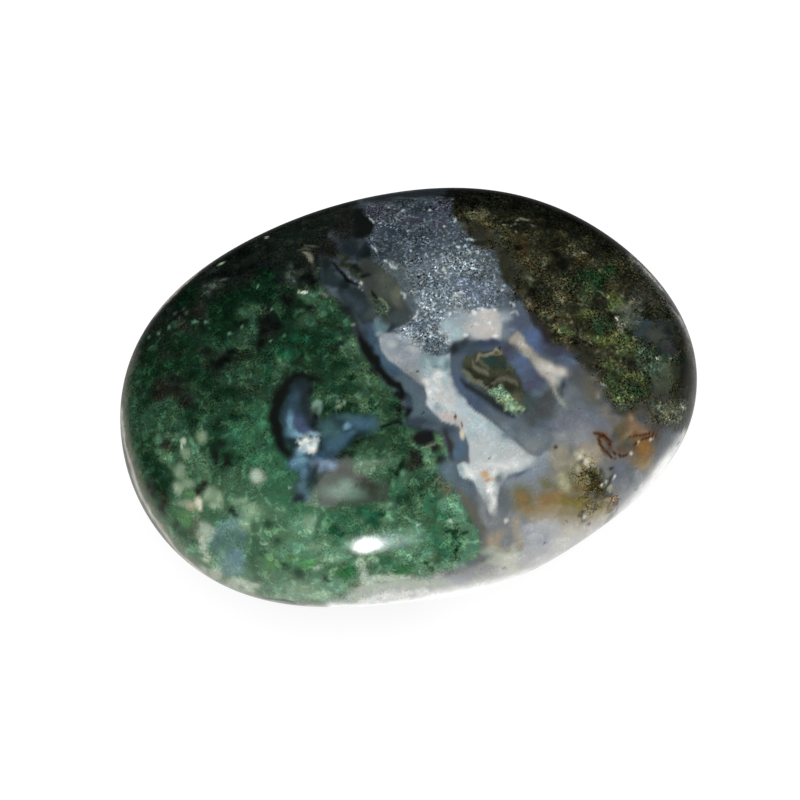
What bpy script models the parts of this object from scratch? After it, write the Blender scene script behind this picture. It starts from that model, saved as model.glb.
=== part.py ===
# A polished palm stone of moss agate, lying on its broad side.
# Metres, +Z up. The origin is on the ground under the middle of the stone, whose length runs along X.

import math

import bmesh
import bpy
from mathutils import Vector

LENGTH = 0.065
WIDTH = 0.0507
CROWN_RISE = 0.0135  # from the girdle, the stone's widest level, up to its top
BASE_DROP = 0.0115  # from the girdle down to where a fully round underside would end
CROWN_FULLNESS = 2.3  # the exponent of the crown's curve: 2 is an ellipsoid, and more is boxier
BASE_FULLNESS = 2.2
FLAT_DEPTH = 0.0003  # what the flat that the stone lies on takes off the round underside

# The low swellings that keep the girdle from being a true oval: how many crests go round it, how high they are,
# and the direction of the first crest, in degrees from +X.
SWELLINGS = (
    (3, 0.0002, 94),
    (4, 0.00013, 73),
    (5, 0.00027, 60),
    (6, 0.0002, 36),
)

FACET_LEVEL = 5  # an icosphere of 5,120 triangles, with edges of about 1.5 mm
CUT_MARGIN = 0.00001  # a vertex this near the flat is moved onto it, so that the cut leaves no slivers

AGATE_GREEN = (0.05, 0.09, 0.06, 1)
POLISH_ROUGHNESS = 0.12


def girdle_radius(direction):
    """The reach of the girdle in a direction in radians: an oval of the stone's length and width, and its swellings."""
    radius = (LENGTH + WIDTH) / 4 + (LENGTH - WIDTH) / 4 * math.cos(2 * direction)
    for crests, height, first_crest in SWELLINGS:
        radius += height * math.cos(crests * (direction - math.radians(first_crest)))
    return radius


def surface_point(ray):
    """Where a ray from the girdle's centre meets the stone: a superellipsoid, fuller above the girdle than below it."""
    level = math.hypot(ray.x, ray.y) / girdle_radius(math.atan2(ray.y, ray.x))
    if ray.z > 0:
        rise, fullness = CROWN_RISE, CROWN_FULLNESS
    else:
        rise, fullness = BASE_DROP, BASE_FULLNESS
    reach = (level**fullness + abs(ray.z / rise) ** fullness) ** (-1 / fullness)
    return ray * reach


def cut_flat(mesh, height):
    """Takes off all that lies below the height and closes the cut with one flat face."""
    for vertex in mesh.verts:
        if abs(vertex.co.z - height) < CUT_MARGIN:
            vertex.co.z = height
    everything = mesh.verts[:] + mesh.edges[:] + mesh.faces[:]
    cut = bmesh.ops.bisect_plane(
        mesh, geom=everything, plane_co=(0, 0, height), plane_no=(0, 0, -1), clear_outer=True
    )
    rim = [part for part in cut["geom_cut"] if isinstance(part, bmesh.types.BMEdge)]
    bmesh.ops.contextual_create(mesh, geom=rim)


def stand_on_origin(mesh):
    """Moves the mesh until the middle of its underside is at the origin."""
    lowest = Vector(min(vertex.co[axis] for vertex in mesh.verts) for axis in range(3))
    highest = Vector(max(vertex.co[axis] for vertex in mesh.verts) for axis in range(3))
    middle = (lowest + highest) / 2
    bmesh.ops.translate(mesh, vec=(-middle.x, -middle.y, -lowest.z), verts=mesh.verts)


def polished_agate():
    material = bpy.data.materials.new("polished agate")
    material.use_nodes = True
    shader = material.node_tree.nodes["Principled BSDF"]
    shader.inputs["Base Color"].default_value = AGATE_GREEN
    shader.inputs["Roughness"].default_value = POLISH_ROUGHNESS
    shader.inputs["Metallic"].default_value = 0
    return material


def make_stone(collection):
    shape = bmesh.new()
    bmesh.ops.create_icosphere(shape, subdivisions=FACET_LEVEL, radius=1)
    for vertex in shape.verts:
        vertex.co = surface_point(vertex.co)
    cut_flat(shape, FLAT_DEPTH - BASE_DROP)
    stand_on_origin(shape)
    bmesh.ops.recalc_face_normals(shape, faces=shape.faces)
    mesh = bpy.data.meshes.new("stone")
    shape.to_mesh(mesh)
    shape.free()
    mesh.shade_smooth()
    mesh.set_sharp_from_angle(angle=math.radians(30))
    mesh.materials.append(polished_agate())
    collection.objects.link(bpy.data.objects.new("stone", mesh))


for leftover in list(bpy.data.objects):
    bpy.data.objects.remove(leftover, do_unlink=True)
moss_agate = bpy.data.collections.new("moss agate palm stone")
bpy.context.scene.collection.children.link(moss_agate)
make_stone(moss_agate)
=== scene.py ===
import itertools
import math

import bpy
import numpy as np
from mathutils import Matrix, Vector


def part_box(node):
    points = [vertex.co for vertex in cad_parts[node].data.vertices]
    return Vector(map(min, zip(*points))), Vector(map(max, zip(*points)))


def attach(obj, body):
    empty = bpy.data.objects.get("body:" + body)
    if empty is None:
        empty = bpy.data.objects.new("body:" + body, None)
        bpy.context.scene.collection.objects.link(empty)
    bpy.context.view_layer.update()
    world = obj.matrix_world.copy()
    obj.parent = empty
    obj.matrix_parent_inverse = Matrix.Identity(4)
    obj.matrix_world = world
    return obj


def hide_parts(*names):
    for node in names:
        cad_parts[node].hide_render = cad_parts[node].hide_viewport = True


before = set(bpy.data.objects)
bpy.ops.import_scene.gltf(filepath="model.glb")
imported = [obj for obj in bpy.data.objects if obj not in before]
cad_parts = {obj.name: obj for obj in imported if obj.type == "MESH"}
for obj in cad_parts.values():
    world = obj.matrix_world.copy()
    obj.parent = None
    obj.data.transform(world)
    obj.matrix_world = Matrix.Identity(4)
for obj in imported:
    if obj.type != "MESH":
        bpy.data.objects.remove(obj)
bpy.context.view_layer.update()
stone_low, stone_high = (1000 * np.array(corner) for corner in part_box("stone"))

# The camera
# It stands where the photographer stood: 55 degrees above the table and a little to the left of the stone's
# front, with a long lens. Its place is also what ties a pixel of the photograph to a point of the stone.

CAMERA_AZIMUTH = math.radians(-18.96)
CAMERA_ELEVATION = math.radians(55)
CAMERA_DISTANCE = 350.0  # mm, from the middle of the stone's girdle
GIRDLE_HEIGHT = 11.2  # mm above the table
FOCAL_PIXELS = 3129.6  # the lens's focal length, in pixels of the photograph
MIDDLE_PIXEL = (407.93, 394.99)  # where the photograph shows the middle of the girdle
PHOTO_SIDE = 800
SENSOR_WIDTH = 36.0

looking_from = np.array([
    math.sin(CAMERA_AZIMUTH) * math.cos(CAMERA_ELEVATION),
    -math.cos(CAMERA_AZIMUTH) * math.cos(CAMERA_ELEVATION),
    math.sin(CAMERA_ELEVATION),
])
picture_right = np.array([math.cos(CAMERA_AZIMUTH), math.sin(CAMERA_AZIMUTH), 0.0])
picture_up = np.cross(looking_from, picture_right)
girdle_middle = np.array([0.0, 0.0, GIRDLE_HEIGHT])
camera_place = girdle_middle + CAMERA_DISTANCE * looking_from


def photo_pixel(points):
    """The photograph's pixel of each point in mm: its offsets right and down from the camera's axis, over its
    depth, times the focal length."""
    away = points - camera_place
    scale = FOCAL_PIXELS / -(away @ looking_from)
    return away @ picture_right * scale + MIDDLE_PIXEL[0], MIDDLE_PIXEL[1] - away @ picture_up * scale


# The stone
# One polished pebble of moss agate. Green and olive moss fills most of it, and a vein of sugary quartz, white
# agate and blue-grey chalcedony crosses it. All of it is polished flush, so the markings are colour only.

OVAL = (65.0, 50.7)  # mm, the girdle's nominal length and width

# The girdle's low swellings: how many crests go round it, how high they are in mm, and the first one's
# direction in degrees.
SWELLINGS = ((3, 0.2, 94), (4, 0.13, 73), (5, 0.27, 60), (6, 0.2, 36))
CROWN = (13.5, 2.3)  # mm from the girdle to the top, and the exponent of that curve
BASE = (11.5, 2.2)
FLAT_HEIGHT = -11.2  # mm from the girdle down to the flat that it lies on
GRID = (160, 126, 100)  # squares along, across and up the box that the surface is spread from
BOX_HEIGHTS = (-6.0, 21.0)  # mm from the girdle: high up, so that the seen side gets the finer squares
GRID_BOW = 0.9  # radians; it packs the squares closer in the middle of a side, which is pushed out the most


def box_grid(counts):
    """The corners of the squares on a box's six sides, from -1 to 1 on each axis, and each square's four
    corners. A corner that two sides share is one vertex, so the surface is closed."""
    corners = []
    for axis in range(3):
        across, along = (axis + 1) % 3, (axis + 2) % 3
        first, second = np.meshgrid(np.arange(counts[across]), np.arange(counts[along]), indexing="ij")
        for end, order in ((0, (0, 3, 2, 1)), (counts[axis], (0, 1, 2, 3))):
            square = np.full((first.size, 4, 3), end)
            for corner, (step_1, step_2) in enumerate(((0, 0), (1, 0), (1, 1), (0, 1))):
                square[:, corner, across] = first.ravel() + step_1
                square[:, corner, along] = second.ravel() + step_2
            corners.append(square[:, order])
    corners = np.concatenate(corners)
    places, index = np.unique(corners.reshape(-1, 3), axis=0, return_inverse=True)
    return 2 * places / np.array(counts) - 1, index.reshape(-1, 4)


def pebble_surface(spread):
    """A ray through each box point, carried out to a superellipsoid: the ray's reach is such that
    (level / girdle radius) ^ fullness + (height / rise) ^ fullness = 1. Below, it is cut off flat."""
    lower, upper = BOX_HEIGHTS
    rays = np.tan(GRID_BOW * spread) / math.tan(GRID_BOW) * [OVAL[0] / 2, OVAL[1] / 2, (upper - lower) / 2]
    rays[:, 2] += (upper + lower) / 2
    direction = np.arctan2(rays[:, 1], rays[:, 0])
    girdle = (OVAL[0] + OVAL[1]) / 4 + (OVAL[0] - OVAL[1]) / 4 * np.cos(2 * direction)
    for crests, height, first_crest in SWELLINGS:
        girdle += height * np.cos(crests * (direction - math.radians(first_crest)))
    above = rays[:, 2] > 0
    rise = np.where(above, CROWN[0], BASE[0])
    fullness = np.where(above, CROWN[1], BASE[1])
    level = np.hypot(rays[:, 0], rays[:, 1]) / girdle
    reach = (level**fullness + np.abs(rays[:, 2] / rise) ** fullness) ** (-1 / fullness)
    points = rays * reach[:, None]
    points[:, 2] = np.maximum(points[:, 2], FLAT_HEIGHT)
    low, high = points.min(axis=0), points.max(axis=0)
    return stone_low + (points - low) / (high - low) * (stone_high - stone_low)


def outward(points, squares):
    """Each vertex's normal: the mean of its squares' normals, weighted by their areas."""
    diagonals = points[squares[:, 2]] - points[squares[:, 0]], points[squares[:, 3]] - points[squares[:, 1]]
    face = np.cross(*diagonals)
    normals = np.zeros_like(points)
    for corner in range(4):
        for axis in range(3):
            normals[:, axis] += np.bincount(squares[:, corner], face[:, axis], len(points))
    return normals / np.linalg.norm(normals, axis=1, keepdims=True)


spread, squares = box_grid(GRID)
points = pebble_surface(spread)
normals = outward(points, squares)


# The whole stone, under its markings
# Green moss fills the left of the stone and olive moss the right, and the vein of chalcedony leans through it
# between them. This is what shows on the underside and at the back, where no photograph says more.

# Where a stuff's ten values stand: its two colours and its four amounts, three of which are used one by one.
GROUND, FLECKS, COLOURS, AMOUNTS = slice(0, 3), slice(3, 6), slice(0, 6), slice(6, 10)
DARK_SHARE, SUGAR, GRIT = 7, 8, 9


def eased(share):
    """The smoothstep of a share: 0 below 0, 1 above 1, and 3 s^2 - 2 s^3 between."""
    share = np.clip(share, 0, 1)
    return share * share * (3 - 2 * share)


def lumps(cell, seed):
    """Noise from -1 to 1 with lumps as wide as a cell in mm: random values at the corners of a grid of cells,
    and between them the mix of a cell's eight corners, weighted by smoothsteps of the place in the cell."""
    place = (points - stone_low) / cell
    corners = np.random.default_rng(seed).uniform(-1, 1, place.max(axis=0).astype(int) + 2)
    first = place.astype(int)
    part = eased(place - first)
    total = 0
    for step in itertools.product((0, 1), repeat=3):
        total = total + np.prod(np.where(step, part, 1 - part), axis=1) * corners[tuple((first + step).T)]
    return total


def cloud(cell, seed):
    """Lumps with half as strong lumps of half their width on them, and so on, three times."""
    return lumps(cell, seed) + 0.5 * lumps(cell / 2, seed + 1) + 0.25 * lumps(cell / 4, seed + 2)


def linear(colours):
    """The linear values of colours given as they look, from 0 to 255."""
    shares = np.array(colours) / 255
    return np.where(shares <= 0.04045, shares / 12.92, ((shares + 0.055) / 1.055) ** 2.4)


def stuff(ground, flecks, fleck_share=0.0, dark_share=0.0, sugar=0.0, grit=0.3):
    """What a marking is made of: the linear values of its ground's and its flecks' colours, the shares of it
    that flecks and dark pits cover, how sugary its grain is, and how gritty it is."""
    return np.concatenate([linear(ground + flecks), [fleck_share, dark_share, sugar, grit]])


def clear(ground, flecks, fleck_share=0.0):
    """Smooth, clear stone: a stuff with no pits, no sugar and hardly any grit."""
    return stuff(ground, flecks, fleck_share, grit=0.05)


paint = np.zeros((len(points), 10))


def lay(layer, cover):
    """Lays a stuff over the paint: each of its values moves towards the stuff's by the cover, from 0 to 1."""
    paint[:] += cover[:, None] * (layer - paint)


VEIN_MIDDLE = 8.0  # mm along X, at the girdle
VEIN_LEAN = -0.25  # mm along X for each mm up
VEIN_HALF_WIDTH = 6.5
VEIN_WIDENING = -0.09  # mm for each mm along Y
WHITE_SHARE = 0.35  # the share of the vein's width that its white middle takes
BEND = 2.2  # mm that the vein's lumps push it about
GREEN_MOSS = stuff((30, 60, 40), (62, 98, 70), 0.35, 0.25)
DEEP_MOSS = stuff((14, 38, 24), (42, 72, 52), 0.25, 0.35)
OLIVE_MOSS = stuff((46, 47, 34), (92, 92, 66), 0.35, 0.35, grit=0.8)
BLACK_MOSS = stuff((22, 23, 18), (52, 52, 40), 0.2, 0.3, grit=0.8)
BLUE_CHALCEDONY = clear((88, 98, 106), (104, 114, 122), 0.2)
WHITE_AGATE = clear((160, 168, 172), (188, 192, 192), 0.3)

across_vein = points[:, 0] - VEIN_MIDDLE - VEIN_LEAN * (points[:, 2] - GIRDLE_HEIGHT) + BEND * cloud(7, 41)
vein_half_width = VEIN_HALF_WIDTH + VEIN_WIDENING * points[:, 1]
paint[:] = GREEN_MOSS
lay(DEEP_MOSS, eased(0.5 + 1.1 * cloud(5, 44)))
lay(OLIVE_MOSS, eased(0.5 + across_vein / 3))
lay(BLACK_MOSS, eased(0.4 + 1.2 * cloud(6, 47)) * eased(0.5 + across_vein / 3))
lay(BLUE_CHALCEDONY, eased(0.5 + (vein_half_width - np.abs(across_vein)) / 2))
lay(WHITE_AGATE, eased(0.5 + (WHITE_SHARE * vein_half_width - np.abs(across_vein)) / 2))

# The green moss
# Crumbly green growths fill the left half, from nearly black at the upper left to light green near the front.
# They are clumps in clear agate, so soft patches and dark hollows take turns.

# A marking is placed by the pixels of the photograph that it covers, which reach the stone along the lines of
# sight. Past the outline the pixels go on round the stone's edge, so the hidden side has its markings too.
PIXELS_PER_RADIAN = 107.0  # how far the pixels go on for each radian that the surface turns away
PIT_DEPTH = 0.72  # the share of the light that a dark pit takes away
HIDDEN_FROM, HIDDEN_BY = 0.5, 1.0  # radians past the outline, between which the markings fade out

sight = camera_place - points
sight /= np.linalg.norm(sight, axis=1, keepdims=True)
turned_away = np.arcsin(np.clip(-np.sum(normals * sight, axis=1), 0, 1))
outward_right, outward_up = normals @ picture_right, normals @ picture_up
outward_length = np.hypot(outward_right, outward_up) + 1e-9
pixel_x, pixel_y = photo_pixel(points)
pixel_x = pixel_x + PIXELS_PER_RADIAN * turned_away * outward_right / outward_length
pixel_y = pixel_y - PIXELS_PER_RADIAN * turned_away * outward_up / outward_length
near_side = 1 - eased((turned_away - HIDDEN_FROM) / (HIDDEN_BY - HIDDEN_FROM))


def drifted(wide, wide_cell, fine, fine_cell, seed):
    """The pixels of each vertex, pushed about by two sizes of lumps, to give plain shapes natural edges."""
    return (
        pixel_x + wide * lumps(wide_cell, seed) + fine * lumps(fine_cell, seed + 1),
        pixel_y + wide * lumps(wide_cell, seed + 2) + fine * lumps(fine_cell, seed + 3),
    )


CALM = drifted(1.5, 2.4, 0.8, 0.7, 11)
WAVY = drifted(2.5, 2.2, 1.8, 0.7, 21)
RAGGED = drifted(3.5, 1.6, 3.5, 0.6, 31)
CRUMBLE = 0.6 * lumps(1.3, 36) + 0.6 * lumps(0.75, 37) + 0.6 * lumps(0.45, 38)


def agate(red, green, blue, mottle=0.15):
    """Smooth, clear stone of one mean colour: a third of it is flecks, and the mottle is how much lighter
    than the rest they are, as a share."""
    mean = linear((red, green, blue))
    return np.concatenate([mean * (1 - 0.3 * mottle), mean * (1 + 0.7 * mottle), [0.3, 0.0, 0.0, 0.05]])


def moss(red, green, blue, contrast=0.7, pits=0.08, grit=0.3):
    """Crumbly moss of one mean colour: a third of it is lighter crumbs, and the contrast is how much lighter
    than the rest they are, as a share. Pits take some of the light away, and the colours make up for that."""
    mean = linear((red, green, blue)) / (1 - PIT_DEPTH * pits)
    darker, lighter = mean * (1 - 0.35 * contrast), mean * (1 + 0.65 * contrast)
    return np.concatenate([darker, lighter, [0.35, pits, 0.0, grit]])


def spots(places, edge=0.7, drift=RAGGED, crumbly=0.5):
    """The cover of a set of ovals: 1 inside and 0 outside, eased over a share of the oval's size. A place is
    x, y, half width, half height and, if it is turned, its turn in degrees clockwise."""
    cover = np.zeros(len(points))
    for x, y, half_width, half_height, *turn in places:
        angle = math.radians(turn[0] if turn else 0)
        right, down = drift[0] - x, drift[1] - y
        along = (right * math.cos(angle) + down * math.sin(angle)) / half_width
        across = (down * math.cos(angle) - right * math.sin(angle)) / half_height
        depth = (1 - np.hypot(along, across)) / edge + crumbly * CRUMBLE
        cover = np.maximum(cover, eased(0.5 + 0.5 * depth))
    return cover * near_side


def strand(route, edge=2.0, drift=WAVY):
    """The cover of a ribbon that runs through a route of x, y and half width: 1 where the distance to the
    nearest stretch is below its half width there, and eased over the edge in pixels."""
    cover = np.zeros(len(points))
    for (x, y, start), (end_x, end_y, end) in zip(route, route[1:]):
        run_x, run_y = end_x - x, end_y - y
        part = ((drift[0] - x) * run_x + (drift[1] - y) * run_y) / (run_x**2 + run_y**2)
        part = np.clip(part, 0, 1)
        away = np.hypot(drift[0] - x - part * run_x, drift[1] - y - part * run_y)
        cover = np.maximum(cover, eased(0.5 + (start + part * (end - start) - away) / (2 * edge)))
    return cover * near_side


def patch(outline, edge=3.0, drift=WAVY):
    """The cover of a closed outline: eased over the edge in pixels by the distance to the nearest side, which
    counts as positive where a ray to the right crosses an odd number of sides."""
    inside = np.zeros(len(points), bool)
    away = np.full(len(points), np.inf)
    for (x, y), (end_x, end_y) in zip(outline, outline[1:] + outline[:1]):
        run_x, run_y = end_x - x, end_y - y
        part = ((drift[0] - x) * run_x + (drift[1] - y) * run_y) / (run_x**2 + run_y**2)
        part = np.clip(part, 0, 1)
        away = np.minimum(away, np.hypot(drift[0] - x - part * run_x, drift[1] - y - part * run_y))
        if y != end_y:
            crosses = (y > drift[1]) != (end_y > drift[1])
            inside ^= crosses & (drift[0] < x + (drift[1] - y) * run_x / run_y)
    return eased(0.5 + np.where(inside, away, -away) / (2 * edge)) * near_side


def lay_patches(patches, edge=0.8, drift=WAVY, crumbly=0.3, within=1.0):
    """Lays each tone over its own ovals, inside the cover of the place that they all belong to."""
    for tone, ovals in patches:
        lay(tone, spots(ovals, edge, drift, crumbly) * within)


def lay_marks(marks):
    """Lays the marks of a table in turn. Each is a tone, the function that covers its places, the places, and
    that function's edge, drift and crumbliness, where they aren't its usual ones."""
    for tone, cover, places, *manner in marks:
        lay(tone, cover(places, *manner))


def lighten(share):
    """Makes the colours lighter by a share of themselves, or darker where the share is below 0."""
    paint[:, COLOURS] *= (1 + share)[:, None]


INK = moss(14, 19, 17, 0.5)
SHADE = moss(25, 32, 27, 0.7)
UMBER = moss(35, 37, 31, 0.6)
SLATE_CRUMBS = moss(56, 66, 60, 1.2)
DARK_CRUMBS = moss(31, 50, 36, 1.4)
NIGHT = moss(10, 34, 19, 0.7)
IVY = moss(20, 47, 30, 0.8)
FIR = moss(33, 62, 43, 0.8)
LAUREL = moss(28, 72, 50, 0.6)
FERN = moss(48, 78, 57, 0.8)
JADE = moss(52, 97, 71, 0.5)
LEAF = moss(64, 96, 72, 0.7)
FRESH = moss(86, 126, 84, 0.5)
GRASS = moss(72, 124, 76, 0.4)
HOLLY = moss(38, 98, 54, 0.4)
DULL = moss(84, 94, 76, 0.4)
SAGE = moss(82, 117, 89, 0.6)
MINT = moss(91, 133, 106, 0.5)
PALE = moss(122, 152, 124, 0.4)
CHALK = moss(160, 173, 156, 0.3)
FOG = moss(74, 102, 94, 0.2)
MIST = moss(96, 127, 122, 0.2)

GREEN_EDGE = [
    (100, 160), (345, 190), (352, 240), (322, 262), (330, 285), (340, 300), (348, 315), (358, 325),
    (364, 345), (368, 358), (374, 368), (382, 377), (390, 385), (399, 398), (404, 415), (410, 428),
    (440, 436), (448, 462), (452, 478), (460, 495), (466, 512), (477, 528), (484, 545), (478, 562),
    (455, 570), (430, 578), (380, 584), (360, 640), (150, 640), (60, 500), (60, 260),
]
FERN_TOP, SAGE_TOP = 325, 465  # pixels down, where the lighter grounds begin
BAND_WAVES = 25  # pixels that they begin higher or lower
BAND_FADE = 90  # pixels in which they come in
green_cover = patch(GREEN_EDGE)
lay(SHADE, green_cover)
# the ground lightens in bands towards the front: partly the moss's own tones, partly painted shade at the
# back and painted light at the front
lay(FERN, green_cover * eased((pixel_y - FERN_TOP + BAND_WAVES * lumps(4, 51)) / BAND_FADE))
lay(SAGE, green_cover * eased((pixel_y - SAGE_TOP + BAND_WAVES * lumps(4, 52)) / BAND_FADE))

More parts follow.
